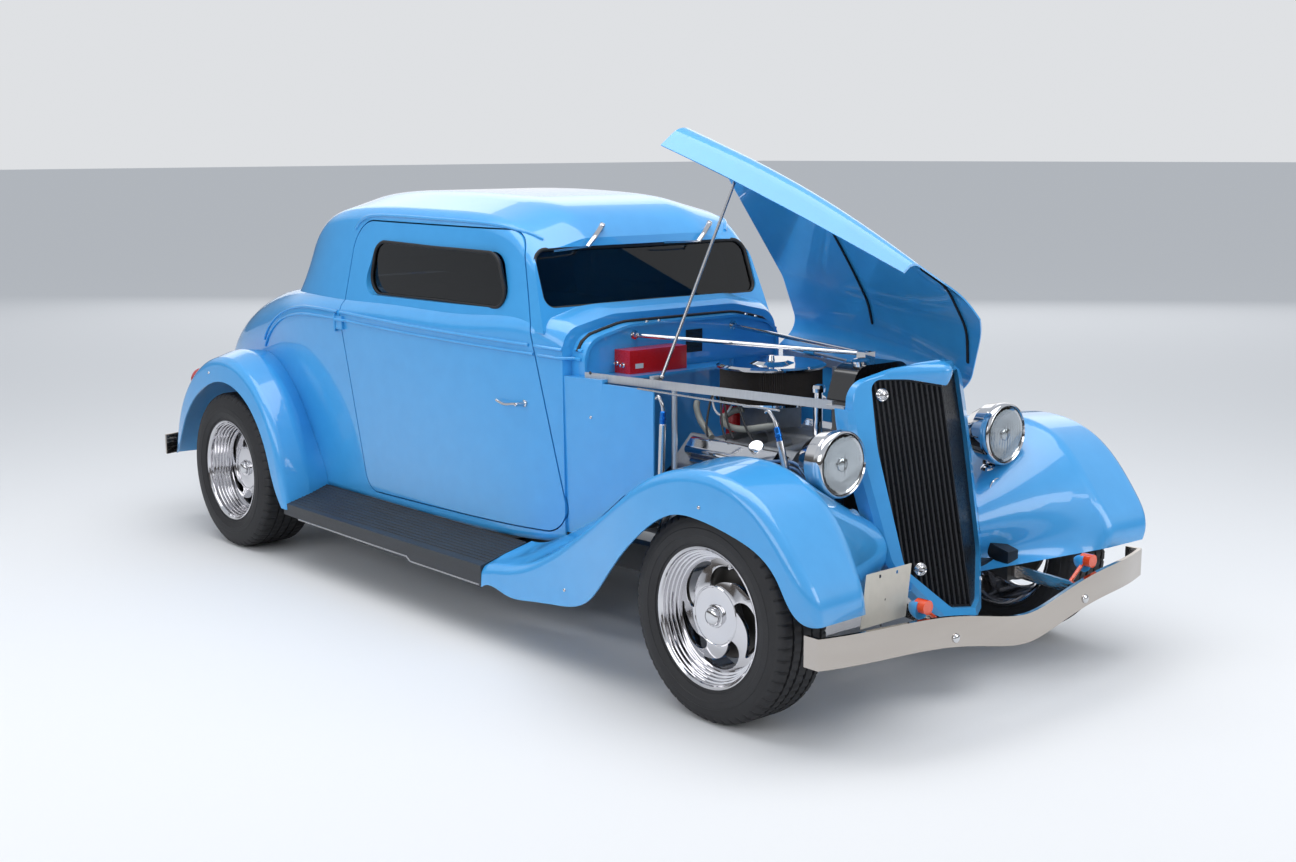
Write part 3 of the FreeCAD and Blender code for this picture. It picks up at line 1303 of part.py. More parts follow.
def main():
    cab, door, lid = build_cab()
    screen, side_glass, rear_glass = build_glass()
    seat_cut = tub(-SEAT_GAP).fuse(neck(-SEAT_GAP))
    front_fender = build_fender(FRONT_FENDER).cut(seat_cut)
    rear_fender = build_fender(REAR_FENDER).cut(seat_cut)
    hood = build_hood()
    floor = build_floor().cut(cab)
    lamp = outside(build_headlamp(), front_fender)
    tail_lamp = outside(build_tail_lamp(), rear_fender)
    board = build_running_board().cut(rear_fender)
    chassis = build_frame()
    shell = build_grille_shell().cut(chassis)
    front_fender = outside(front_fender.cut(chassis), shell.fuse(grille_slab(SHELL, -SHELL_LIP, SHELL_DEPTH)))
    radiator = outside(build_radiator(), shell)
    front_bumper = build_front_bumper()
    signal = outside(build_turn_signal(), front_bumper)
    wiper = outside(build_wiper(), cab)
    handle = outside(build_door_handle(), door)
    engine = outside(build_engine(), chassis)
    exhaust = build_exhaust().cut(engine)
    firewall = build_firewall()
    steering = outside(build_steering_wheel(), firewall)
    nodes = {
        "cab": [cab],
        "door_left": [door],
        "door_right": [mirrored(door)],
        "deck_lid": [lid],
        "firewall": [firewall],
        "floor": [floor],
        "fixed_glass": [screen, rear_glass],
        "glass_left": [side_glass],
        "glass_right": [mirrored(side_glass)],
        "frame": [chassis],
        "front_axle": [build_front_axle()],
        "knuckle_left": [build_knuckle()],
        "knuckle_right": [mirrored(build_knuckle())],
        "tie_rod": [build_tie_rod()],
        "rear_axle": [build_rear_axle()],
        "front_fenders": both_sides(front_fender),
        "rear_fenders": both_sides(rear_fender),
        "running_boards": both_sides(board),
        "grille_shell": [shell],
        "grille_bars": [build_grille_bars()],
        "radiator": [radiator],
        "stay_rods": [build_stay_rods().cut(firewall)],
        "hood": [with_prop_pin(opened(hood))],
        "hood_rails": [rail.cut(seat_cut).cut(shell) for rail in build_hood_rails()],
        "prop_rod": [build_prop_rod()],
        "headlamps": both_sides(lamp),
        "headlamp_lenses": both_sides(build_lens()),
        "front_bumper": [front_bumper],
        "rear_bumper": [build_rear_bumper()],
        "engine": [engine],
        "engine_chrome": [piece.cut(engine) for piece in build_engine_chrome()],
        "air_filter": [build_air_filter()],
        "exhaust": both_sides(exhaust),
        "seat": [build_seat()],
        "dashboard": [build_dashboard()],
        "steering_wheel": [steering],
        "door_handle_left": [handle],
        "door_handle_right": [mirrored(handle)],
        "tail_lamps": both_sides(tail_lamp),
        "turn_signals": both_sides(signal),
        "front_plate": [build_plate().cut(front_bumper)],
        "wipers": both_sides(wiper),
        "ignition_box": [build_ignition_box(), outside(turned(DISTRIBUTOR_SHAPE, DISTRIBUTOR, V(0, 0, 1)), engine)],
        "hose": [build_hose().cut([engine, radiator])],
    }
    for end in ("front", "rear"):
        wheel = build_wheel(end)
        tyre = build_tyre(end)
        nodes["wheel_%s_left" % end] = [wheel]
        nodes["wheel_%s_right" % end] = [mirrored(wheel)]
        nodes["tyre_%s_left" % end] = [tyre]
        nodes["tyre_%s_right" % end] = [mirrored(tyre)]
    for name, solids in nodes.items():
        export(name, solids)


main()
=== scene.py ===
import json
import math

import bmesh
import bpy
from mathutils import Matrix, Vector


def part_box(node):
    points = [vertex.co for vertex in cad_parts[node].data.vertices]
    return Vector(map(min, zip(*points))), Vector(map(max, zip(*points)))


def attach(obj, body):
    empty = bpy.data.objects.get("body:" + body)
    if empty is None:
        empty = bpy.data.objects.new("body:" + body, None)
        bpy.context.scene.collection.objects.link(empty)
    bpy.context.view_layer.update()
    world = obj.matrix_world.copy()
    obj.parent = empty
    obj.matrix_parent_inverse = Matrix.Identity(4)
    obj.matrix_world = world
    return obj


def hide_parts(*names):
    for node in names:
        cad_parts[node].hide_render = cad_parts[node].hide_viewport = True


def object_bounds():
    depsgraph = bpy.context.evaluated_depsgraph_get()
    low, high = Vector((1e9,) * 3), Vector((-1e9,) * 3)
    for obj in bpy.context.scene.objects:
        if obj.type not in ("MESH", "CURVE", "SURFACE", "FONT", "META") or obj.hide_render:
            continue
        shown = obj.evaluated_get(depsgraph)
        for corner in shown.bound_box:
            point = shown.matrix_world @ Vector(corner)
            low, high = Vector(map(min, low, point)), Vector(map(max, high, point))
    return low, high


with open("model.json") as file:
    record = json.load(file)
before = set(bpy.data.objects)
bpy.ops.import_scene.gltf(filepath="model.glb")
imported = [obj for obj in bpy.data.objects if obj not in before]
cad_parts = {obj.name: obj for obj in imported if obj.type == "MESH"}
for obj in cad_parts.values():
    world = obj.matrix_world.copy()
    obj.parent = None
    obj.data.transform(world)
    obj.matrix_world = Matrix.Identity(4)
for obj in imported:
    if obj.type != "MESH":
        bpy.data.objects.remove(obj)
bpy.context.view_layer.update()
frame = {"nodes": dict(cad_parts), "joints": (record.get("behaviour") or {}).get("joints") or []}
nodes = frame["nodes"]

# ---- chassis
# A pressed ladder frame and rear axle brushed with satin black, and a polished dropped front axle.
# The knuckles, tie rod and exhaust are polished too; everything is bolted or sprung to the frame.


def linear(code):
    """An sRGB hex colour as the linear RGBA that the shaders take."""
    parts = [int(code[i:i + 2], 16) / 255 for i in (1, 3, 5)]
    return tuple(c / 12.92 if c <= 0.04045 else ((c + 0.055) / 1.055) ** 2.4 for c in parts) + (1.0,)


def add_node(tree, kind, links=None, **settings):
    """One shader node, with its settings and input values, and with links into its inputs by name or number."""
    n = tree.nodes.new(kind)
    for name, value in settings.items():
        if name in n.inputs:
            n.inputs[name].default_value = value
        elif hasattr(n, name):
            setattr(n, name, value)
        else:
            n.inputs[name.replace("_", " ")].default_value = value
    for name, source in (links or {}).items():
        tree.links.new(source, n.inputs[name])
    return n


def new_tree(owner):
    """An empty node tree on a material or a world."""
    owner.use_nodes = True
    owner.node_tree.nodes.clear()
    return owner.node_tree


PATCH = 12.5  # grains across one drift of a finish's colour


def surface(name, light, dark, grain, bump, depth, rough, stretch=(1, 1, 1), **shader):
    """A finish between two colours and two roughnesses; its grain and the grain's depth are in millimetres."""
    per_metre = 1000 / grain
    material = bpy.data.materials.new(name)
    tree = new_tree(material)
    out = tree.nodes.new("ShaderNodeOutputMaterial")
    where = add_node(tree, "ShaderNodeTexCoord")
    way = add_node(tree, "ShaderNodeMapping", {"Vector": where.outputs["Object"]}, Scale=stretch)
    broad = add_node(tree, "ShaderNodeTexNoise", {"Vector": way.outputs["Vector"]},
                     Scale=per_metre / PATCH, Detail=4.0)
    fine = add_node(tree, "ShaderNodeTexNoise", {"Vector": way.outputs["Vector"]}, Scale=per_metre, Detail=3.0)
    colour = add_node(tree, "ShaderNodeMix", {"Factor": broad.outputs["Fac"]}, data_type="RGBA")
    colour.inputs[6].default_value = linear(light)
    colour.inputs[7].default_value = linear(dark)
    gloss = add_node(tree, "ShaderNodeMapRange", {"Value": fine.outputs["Fac"]}, To_Min=rough[0], To_Max=rough[1])
    relief = add_node(tree, "ShaderNodeBump", {"Height": fine.outputs["Fac"]}, Strength=bump,
                      Distance=depth / 1000)
    finish = add_node(tree, "ShaderNodeBsdfPrincipled", {"Base Color": colour.outputs[2],
                      "Roughness": gloss.outputs["Result"], "Normal": relief.outputs["Normal"]}, **shader)
    tree.links.new(finish.outputs["BSDF"], out.inputs["Surface"])
    return material


def dress(names, material):
    """A finish on CAD nodes, in place of what they came with."""
    for name in names:
        slots = nodes[name].data.materials
        slots.clear()
        slots.append(material)


# brushed chassis paint: near black, with a broad soft sheen from 1.4 mm brush and orange-peel texture
satin_black = surface("satin_black_paint", "#111214", "#1a1b1e", 1.4, 0.2, 0.3, (0.36, 0.5))
# buffed stainless: a slightly smeared mirror, from level lines 3.3 mm long and 0.3 mm apart
stainless = surface("polished_stainless", "#c4c4c6", "#b2b2b5", 3.3, 0.05, 0.3, (0.14, 0.24), (1, 1, 12),
                    Metallic=1.0)
dress(["frame", "rear_axle"], satin_black)
dress(["front_axle", "knuckle_left", "knuckle_right", "tie_rod", "exhaust"], stainless)

# ---- wheels
# Cast and polished alloy rims with a stepped lip, five blade-shaped slots and a domed centre cap.
# Each is bolted to its hub in front of an iron brake rotor, and turns with it.

SIDES = (("right", -1), ("left", 1))
AXLE_HEIGHT = {"front": 0.306, "rear": 0.316}  # also the radius of the tyres on it
SET_BACK = {"front": 0.052, "rear": 0.088}  # the wheel's face behind its outer edge: the rears are deep-dished
LIP_STEPS = {"front": 4, "rear": 6}
SLOTS = 5
SLOT_TURN = 20  # degrees from the front of the car to where the first slot starts
# one slot: radius, and degrees round from the slot's start
SLOT_EDGE = [(0.080, -4), (0.092, 5), (0.106, 18), (0.121, 33), (0.134, 49), (0.146, 62), (0.154, 56),
             (0.157, 42), (0.155, 26), (0.147, 10), (0.131, -3), (0.109, -11), (0.088, -11)]
# turned sections: (distance out from the wheel's face, radius)
DISC = [(-0.0035, 0.166), (-0.002, 0.160), (0.003, 0.150), (0.008, 0.120), (0.014, 0.098), (0.0165, 0.086),
        (0.017, 0.070), (0.017, 0.030), (0.006, 0.030), (0.005, 0.084), (-0.002, 0.110), (-0.008, 0.150),
        (-0.012, 0.166)]
CAP = [(0.004, 0.0335), (0.019, 0.0335), (0.021, 0.032), (0.022, 0.0275), (0.030, 0.0265), (0.0345, 0.023),
       (0.0375, 0.016), (0.0387, 0.008), (0.039, 0.001)]
HUB_RING = [(0.0165, 0.087), (0.0185, 0.085), (0.0185, 0.0825), (0.0168, 0.081)]
ROTOR = [(-0.035, 0.040), (-0.035, 0.128), (-0.037, 0.130), (-0.055, 0.130), (-0.057, 0.128), (-0.057, 0.040)]
HUB = [(0.004, 0.055), (-0.034, 0.060), (-0.060, 0.058)]
VALVE_PLACE = Vector((0.070, 0, 0.151))  # from the wheel's centre
VALVE = [(0, 0.0048), (0.012, 0.0044), (0.014, 0.003), (0.020, 0.003), (0.021, 0.0042), (0.033, 0.0042),
         (0.035, 0.002)]


def mesh_piece(name, points, faces, material, body, sharp=35.0):
    """A mesh that rides on a body, shaded smooth apart from edges sharper than an angle."""
    mesh = bpy.data.meshes.new(name)
    mesh.from_pydata([tuple(p) for p in points], [], faces)
    mesh.validate()
    mesh.polygons.foreach_set("use_smooth", [True] * len(mesh.polygons))
    mesh.set_sharp_from_angle(angle=math.radians(sharp))
    mesh.materials.append(material)
    piece = bpy.data.objects.new(name, mesh)
    bpy.context.scene.collection.objects.link(piece)
    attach(piece, body)
    return piece


def ring_faces(rings, steps, closed=False):
    """Quads that join each ring of points to the next, and the last to the first where closed."""
    faces = []
    for i in range(rings if closed else rings - 1):
        j = (i + 1) % rings
        for k in range(steps):
            m = (k + 1) % steps
            faces.append((i * steps + k, i * steps + m, j * steps + m, j * steps + k))
    return faces


def end_caps(rings, steps):
    """The two faces that close the first ring and the last."""
    return [tuple(range(steps - 1, -1, -1)), tuple((rings - 1) * steps + k for k in range(steps))]


def lathe(name, profile, centre, axis, material, body, steps=64, sharp=35.0, closed=False):
    """A turned piece; profile rows are (distance along the axis, radius)."""
    axis = Vector(axis).normalized()
    side = axis.orthogonal().normalized()
    across = axis.cross(side)
    points = []
    for a, r in profile:
        for k in range(steps):
            turn = 2 * math.pi * k / steps
            points.append(Vector(centre) + axis * a + (side * math.cos(turn) + across * math.sin(turn)) * r)
    faces = ring_faces(len(profile), steps, closed)
    if not closed:
        faces += end_caps(len(profile), steps)
    return mesh_piece(name, points, faces, material, body, sharp)


def bend(p0, p1, p2, p3, parts):
    """Points along the smooth curve from p1 towards p2, with p0 before them and p3 after."""
    line = []
    for k in range(parts):
        t = k / parts
        line.append(0.5 * (2 * p1 + (p2 - p0) * t + (2 * p0 - 5 * p1 + 4 * p2 - p3) * t * t
                    + (3 * p1 - p0 - 3 * p2 + p3) * t ** 3))
    return line


def smooth_ring(points, parts=5):
    """A closed smooth line through points."""
    points = [Vector(p) for p in points]
    count = len(points)
    path = []
    for i in range(count):
        path += bend(points[i - 1], points[i], points[(i + 1) % count], points[(i + 2) % count], parts)
    return path


def apply_modifiers(piece):
    """Modifiers turned into plain mesh."""
    graph = bpy.context.evaluated_depsgraph_get()
    mesh = bpy.data.meshes.new_from_object(piece.evaluated_get(graph))
    piece.modifiers.clear()
    old = piece.data
    piece.data = mesh
    bpy.data.meshes.remove(old)


def round_edges(piece, width, segments, angle=None):
    """A bevel on a piece's edges, or on those sharper than an angle, to be applied with its other modifiers."""
    soft = piece.modifiers.new("edges", "BEVEL")
    soft.width = width
    soft.segments = segments
    if angle:
        soft.limit_method = "ANGLE"
        soft.angle_limit = math.radians(angle)


def rim_section(back, width, steps):
    """Once round the rim: outer bead, steps down to the disc, the barrel's inside, inner bead and tyre seat."""
    line = [(-0.010, 0.1975), (-0.004, 0.2035), (-0.0005, 0.2025), (0.0, 0.199), (-0.003, 0.1945), (-0.008, 0.192)]
    fall = (-0.008 - back - 0.004) / steps
    narrow = 0.026 / steps
    for i in range(steps):
        r = 0.190 - i * narrow
        a = -0.008 - i * fall
        line += [(a - fall * 0.12, r), (a - fall * 0.92, r - 0.0012), (a - fall, r - narrow + 0.0008)]
    return line + [(back - 0.004, 0.163), (back - 0.014, 0.163), (back - 0.014, 0.184), (-width + 0.014, 0.184),
                   (-width + 0.002, 0.199), (-width, 0.2035), (-width + 0.008, 0.2035), (-width + 0.012, 0.193),
                   (-0.016, 0.193)]


def slot_cutter(centre, sign, back):
    """Blades that pass right through the disc, one for each slot, mirrored from side to side."""
    verts, faces = [], []
    for i in range(SLOTS):
        first = 360 / SLOTS * i + SLOT_TURN
        edge = smooth_ring([(r * math.cos(math.radians(a * sign + first)),
                             r * math.sin(math.radians(a * sign + first)), 0) for r, a in SLOT_EDGE])
        base = len(verts)
        for deep in (back - 0.03, back + 0.05):
            verts += [centre + Vector((p.x, sign * deep, p.y)) for p in edge]
        n = len(edge)
        faces.append(tuple(base + k for k in range(n)))
        faces.append(tuple(base + n + k for k in range(n - 1, -1, -1)))
        faces += [(base + k, base + n + k, base + n + (k + 1) % n, base + (k + 1) % n) for k in range(n)]
    mesh = bpy.data.meshes.new("slots")
    mesh.from_pydata([tuple(v) for v in verts], [], faces)
    cutter = bpy.data.objects.new("slots", mesh)
    bpy.context.scene.collection.objects.link(cutter)
    return cutter


def cut_slots(disc, cutter):
    """The slots cut through the disc, and every sharp edge rounded by about 2 mm as a casting's is."""
    for thing in (cutter, disc):
        bm = bmesh.new()
        bm.from_mesh(thing.data)
        bmesh.ops.recalc_face_normals(bm, faces=bm.faces)
        bm.to_mesh(thing.data)
        bm.free()
    cut = disc.modifiers.new("slots", "BOOLEAN")
    cut.object = cutter
    cut.operation = "DIFFERENCE"
    cut.solver = "EXACT"
    round_edges(disc, 0.0022, 3, 50)
    apply_modifiers(disc)
    disc.data.polygons.foreach_set("use_smooth", [True] * len(disc.data.polygons))
    disc.data.set_sharp_from_angle(angle=math.radians(30))
    bpy.data.objects.remove(cutter)


# polished alloy: a bright mirror with a slight haze, over the 17 mm ripple that a polishing mop leaves
spun = surface("spun_alloy", "#dcdbdd", "#cdccd0", 16.7, 0.02, 0.2, (0.05, 0.11), Metallic=1.0)
# chromium plate over buffed steel: the sharpest mirror on the car, with a hazy patch here and there
chrome = surface("chrome_plate", "#dcdcde", "#cfcfd2", 16.7, 0.02, 0.3, (0.03, 0.09), Metallic=1.0)
# grey cast iron, wiped clean by the pads: dark, with a broken shine off 2.5 mm machining marks
dark_iron = surface("grey_iron", "#5a5855", "#45423f", 2.5, 0.3, 0.5, (0.4, 0.6), Metallic=0.8)
# sand-cast aluminium: dull grey and pebbled, drawn with a 1.9 mm sand grain so that it shows
cast_alloy = surface("cast_aluminium", "#9a9da1", "#808388", 1.9, 0.5, 0.6, (0.42, 0.6), Metallic=0.8)

for end, height in AXLE_HEIGHT.items():
    low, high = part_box("wheel_%s_left" % end)
    width = high.y - low.y
    back = -SET_BACK[end]
    for side, sign in SIDES:
        name = "%s_%s" % (end, side)
        body = "wheel_" + name
        centre = Vector(((low.x + high.x) / 2, sign * high.y, height))
        out = Vector((0, sign, 0))
        rim = lathe("rim_" + name, rim_section(back, width, LIP_STEPS[end]), centre, out, spun, body, 128, 25.0,
                    True)
        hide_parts("wheel_" + name)
        disc = lathe("disc_" + name, [(back + a, r) for a, r in DISC], centre, out, spun, body, 128, 25.0, True)
        cut_slots(disc, slot_cutter(centre, sign, back))
        for label, section, finish, steps, sharp, closed in (("cap", CAP, chrome, 64, 40.0, False),
                                                             ("hub_ring", HUB_RING, spun, 96, 25.0, True),
                                                             ("rotor", ROTOR, dark_iron, 64, 30.0, True),
                                                             ("hub", HUB, cast_alloy, 48, 35.0, False)):
            lathe("%s_%s" % (label, name), [(back + a, r) for a, r in section], centre, out, finish, body, steps,
                  sharp, closed)
        lathe("valve_" + name, VALVE, centre + VALVE_PLACE + out * (back + 0.002),
              out + Vector((0.15, 0, 0.1)), chrome, body, 16)

# ---- tyres
# Radial tyres of black rubber with a plain raised ring on each sidewall, moulded in one piece.
# Shoulder blocks are cut across the edge of the tread, and two grooves run round each half of it.

TREAD_STEPS = 330  # points round the tyre: 55 shoulder blocks, and 66 nicks along each rib
BLOCK, BLOCK_DEEP = 6, 0.0055  # points from one cut in the shoulder to the next, and its depth
NICK, NICK_DEEP = 5, 0.0035  # the same for the small cuts in the ribs' edges
GROOVE, GROOVE_DEEP = 0.0042, 0.0075  # half width at the top, and depth
INSET = 0.002  # the plain wall inside the widest point of the solid tyre, on each side
PLAIN, SHOULDER, RIB = 0, 1, 2
# satin moulded rubber: black with a grey bloom of dust, drawn with a 3.8 mm grain to show at all
tyre_rubber = surface("tyre_rubber", "#17171a", "#242427", 3.8, 0.18, 0.5, (0.52, 0.7))


def tread_section(width, crown):
    """Rows (distance in from the outer wall as a negative, radius, kind) from one bead round to the other."""
    wall = [(-0.019, 0.1925), (-0.014, 0.2005), (-0.0115, 0.2065), (-0.0105, 0.212), (-0.0075, 0.213),
            (-0.005, 0.219), (-0.002, 0.229), (-0.0005, 0.2345), (0.0012, 0.236), (0.0014, 0.240),
            (0.0014, 0.250), (0.0012, 0.2555), (-0.0006, 0.2575), (-0.0015, 0.266),
            (-0.0045, crown - 0.032), (-0.0065, crown - 0.027), (-0.0068, crown - 0.022)]
    shoulder = [(-0.0100, crown - 0.016), (-0.0150, crown - 0.009), (-0.0215, crown - 0.0045),
                (-0.0300, crown - 0.0022)]
    rows = [(a, r, PLAIN) for a, r in wall] + [(a, r, SHOULDER) for a, r in shoulder]
    half = width / 2
    for middle in (-(half - 0.052), -(half - 0.018)):
        rows += [(middle + GROOVE, crown - 0.0008, RIB), (middle + 0.0034, crown - GROOVE_DEEP, PLAIN),
                 (middle - 0.0034, crown - GROOVE_DEEP, PLAIN), (middle - GROOVE, crown - 0.0006, RIB)]
    rows = [row for row in rows if row[0] > -half + 0.001]
    return rows + [(-width - a, r, kind) for a, r, kind in reversed(rows)]


for end, crown in AXLE_HEIGHT.items():
    low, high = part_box("tyre_%s_left" % end)
    width = high.y - low.y
    rows = tread_section(width - 2 * INSET, crown)
    for side, sign in SIDES:
        name = "%s_%s" % (end, side)
        centre = Vector(((low.x + high.x) / 2, sign * (high.y - INSET), crown))
        verts = []
        for i, (a, r, kind) in enumerate(rows):
            stagger = 2 if a < -width / 2 else 0
            for k in range(TREAD_STEPS):
                deep = 0.0
                if kind == SHOULDER and (k + stagger) % BLOCK == 0:
                    deep = BLOCK_DEEP
                if kind == RIB and (k + i) % NICK == 0:
                    deep = NICK_DEEP
                turn = 2 * math.pi * k / TREAD_STEPS
                verts.append(centre + Vector(((r - deep) * math.sin(turn), sign * a, -(r - deep) * math.cos(turn))))
        faces = ring_faces(len(rows), TREAD_STEPS)
        if sign > 0:
            faces = [tuple(reversed(f)) for f in faces]
        tyre = mesh_piece("tread_" + name, verts, faces, tyre_rubber, "wheel_" + name, 30.0)
        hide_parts("tyre_" + name)

# ---- engine
# A cast alloy block and gearbox with chromed covers, and a round air cleaner with a pleated paper element.
# Rubber plug wires clip into the distributor; a radiator hose and two silicone hoses are clamped on.

FOLDS, FOLD_DEEP, CRIMP = 176, 0.0085, 0.003  # pleats round the element, their depth, and the crimp at its rims
OIL_CAP = [(-0.002, 0.014), (0.004, 0.014), (0.006, 0.021), (0.009, 0.0235), (0.014, 0.0240), (0.0165, 0.0215),
           (0.0172, 0.001)]
HOSE, WIRE, LINE = 0.0105, 0.0036, 0.0045  # radii of a hose, a wire and a hard line


def cast(names, start, way):
    """The nearest hit of a ray on CAD nodes: (point, normal, node name), or None."""
    best = None
    for name in names:
        hit, point, normal, face = nodes[name].ray_cast(Vector(start), Vector(way))
        if hit and (best is None or (point - Vector(start)).length < (best[0] - Vector(start)).length):
            best = (point.copy(), normal.copy(), name)
    return best


def tube(name, points, radius, material, body, closed=False, smooth=True, sides=10, flat=None):
    """A bar or bead through points, smooth or straight between them; flat gives its half width and height."""
    points = [Vector(p) for p in points]
    path = points
    if smooth and len(points) > 2:
        path = []
        count = len(points)
        for i in range(count if closed else count - 1):
            before = points[i - 1] if closed or i > 0 else points[0]
            after = points[(i + 2) % count] if closed or i + 2 < count else points[-1]
            path += bend(before, points[i], points[(i + 1) % count], after, 6)
        if not closed:
            path.append(points[-1])
    wide, tall = flat or (radius, radius)
    verts = []
    up = None
    count = len(path)
    for i, p in enumerate(path):
        ahead = path[(i + 1) % count] if closed or i + 1 < count else p
        back = path[i - 1] if closed or i > 0 else p
        along = (ahead - back).normalized()
        if up is None:
            up = along.orthogonal()
        up = (up - along * up.dot(along)).normalized()
        over = along.cross(up)
        for k in range(sides):
            turn = 2 * math.pi * k / sides
            verts.append(p + up * math.cos(turn) * tall + over * math.sin(turn) * wide)
    faces = ring_faces(count, sides, closed)
    if not closed:
        faces += end_caps(count, sides)
    return mesh_piece(name, verts, faces, material, body, 60.0)


def seat_fitting(name, section, names, start, way, steps, shift=(0, 0, 0)):
    """A turned chrome fitting, square on the face that a ray meets first and moved from there by a shift."""
    on = cast(names, start, way)
    if on:
        lathe(name, section, on[0] + Vector(shift), on[1], chrome, "chassis", steps)


# extruded black rubber: matt, with a fine skin of 1.1 mm that only softens the highlight
rubber = surface("black_rubber", "#141416", "#1e1e21", 1.1, 0.25, 0.3, (0.55, 0.72))
# silicone hose over fabric: pale grey and dull, its 2 mm weave just showing through
grey_hose = surface("grey_silicone_hose", "#8b8c86", "#74756f", 2.0, 0.35, 0.6, (0.45, 0.6))
# hard line, steel painted by brush: a muted blue with a low gloss over 2.5 mm brush marks
line_paint = surface("painted_line", "#5f7fa6", "#4b6689", 2.5, 0.2, 0.3, (0.25, 0.35), Metallic=0.3)
# extruded plastic insulation: clean white and half gloss, with the 1.7 mm waver of the cores inside
white_wire = surface("white_wire", "#d9dadb", "#c6c7c8", 1.7, 0.1, 0.3, (0.3, 0.4))
# folded filter paper: brown-grey and quite matt, from fibres 1.1 mm long that lie level
pleats = surface("filter_paper", "#4d4641", "#37312e", 1.1, 0.5, 0.5, (0.75, 0.9), (1, 1, 4))
dress(["engine"], cast_alloy)
dress(["engine_chrome"], chrome)
dress(["hose"], rubber)

for i, (side, sign) in enumerate(SIDES):
    on = cast(["engine_chrome"], (1.245, sign * 0.250, 0.80), (0, 0, -1))
    if on:
        lathe("oil_cap_%d" % i, OIL_CAP, (1.245, sign * 0.262, min(on[0].z, 0.690)), (0.30, sign * 0.55, 0.75),
              chrome, "chassis", 40)

low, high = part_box("air_filter")
centre = Vector(((low.x + high.x) / 2, (low.y + high.y) / 2, 0))
outer = (high.x - low.x) / 2
verts = []
for z, crimp in ((low.z, CRIMP), (low.z + 0.004, 0), (high.z - 0.004, 0), (high.z, CRIMP)):
    for k in range(FOLDS * 2):
        turn = math.pi * k / FOLDS
        r = outer - (FOLD_DEEP if k % 2 else 0.0) - crimp
        verts.append(centre + Vector((r * math.cos(turn), r * math.sin(turn), z)))
pleated = mesh_piece("pleated_filter", verts, ring_faces(4, FOLDS * 2) + end_caps(4, FOLDS * 2), pleats, "chassis",
                     20.0)
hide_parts("air_filter")

# plug wires: where each leaves the distributor, about its middle, and how far it runs forward and across
DISTRIBUTOR = Vector((0.945, -0.115, 0.795))
for i, (dx, dy, run, over) in enumerate(((0.012, -0.02, 0.16, -0.135), (-0.012, -0.02, 0.10, -0.135),
                                         (0.02, 0.01, 0.24, -0.130), (-0.02, 0.01, 0.19, -0.130))):
    start = DISTRIBUTOR + Vector((dx, dy, 0))
    tube("plug_wire_%d" % i, [start, start + Vector((0, -0.01, 0.022)),
                              start + Vector((run * 0.4, over * 0.5, 0.004)),
                              start + Vector((run * 0.8, over * 0.9, -0.060)),
                              start + Vector((run, over, -0.095))], WIRE, rubber, "chassis")
tube("coil_wire", [(0.935, -0.150, 0.835), (0.938, -0.160, 0.800), (0.952, -0.165, 0.768), (0.985, -0.170, 0.752),
                   (1.018, -0.165, 0.770), (1.036, -0.155, 0.808)], WIRE, white_wire, "chassis")
tube("grey_hose_rear", [(0.890, -0.185, 0.785), (0.905, -0.200, 0.768), (0.930, -0.208, 0.735),
                        (0.972, -0.222, 0.712), (1.010, -0.232, 0.690)], HOSE, grey_hose, "chassis", sides=16)
tube("grey_hose_front", [(1.050, -0.130, 0.775), (1.020, -0.150, 0.766), (1.006, -0.175, 0.745),
                         (1.045, -0.195, 0.728), (1.120, -0.198, 0.726), (1.200, -0.180, 0.742),
                         (1.225, -0.150, 0.745)], HOSE, grey_hose, "chassis", sides=16)
for i in range(4):
    drop = 0.016 * i
    tube("cooler_line_%d" % i, [(1.110 + 0.02 * i, -0.330, 0.560 - drop), (1.130 + 0.02 * i, -0.338, 0.628 - drop),
                                (1.200, -0.342, 0.652 - drop), (1.340, -0.342, 0.672 - drop),
                                (1.480, -0.342, 0.688 - drop), (1.530, -0.325, 0.640 - drop)], LINE, line_paint,
         "chassis")

# ---- radiator
# A brass core in a shroud, sprayed gloss black, with a chromed pressure cap on its top tank.
# It bolts to the frame behind the grille shell.

PRESSURE_CAP = [(-0.002, 0.022), (0.006, 0.022), (0.008, 0.028), (0.014, 0.028), (0.017, 0.022), (0.018, 0.001)]
ABOVE = 1.5  # over the radiator and the cowl, where rays down onto them start
# sprayed gloss black: a deep shine with a faint orange peel 6.7 mm across
black_gloss = surface("gloss_black_paint", "#0b0b0d", "#121215", 6.7, 0.08, 0.4, (0.12, 0.2), Coat_Weight=0.6)
dress(["radiator"], black_gloss)
low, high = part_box("radiator")
seat_fitting("radiator_cap", PRESSURE_CAP, ["radiator"], ((low.x + high.x) / 2 - 0.05, -0.075, ABOVE), (0, 0, -1),
             24)

# ---- bodywork
# Pressed steel shell, firewall, doors, lid, hood and fenders, sprayed in one solid colour and polished.
# The shell and fenders bolt to the frame; doors, lid and hood hang on hinges.

# two-pack enamel: a clear bright blue under a thick gloss, with a faint 5 mm ripple left by hand flatting
enamel = surface("blue_enamel", "#3d9fe0", "#3495d6", 5.0, 0.06, 0.4, (0.30, 0.36), Coat_Weight=1.0,
                 Coat_Roughness=0.03, Coat_IOR=1.5)
dress(["cab", "door_left", "door_right", "deck_lid", "hood", "front_fenders", "rear_fenders", "grille_shell",
       "firewall"], enamel)

# ---- belt mouldings and drip rails
# Two half-round beads rolled into each side below the windows, and a drip rail over each door.
# Same enamel as the panels; they break at the door's shut lines and ride on the panel below them.

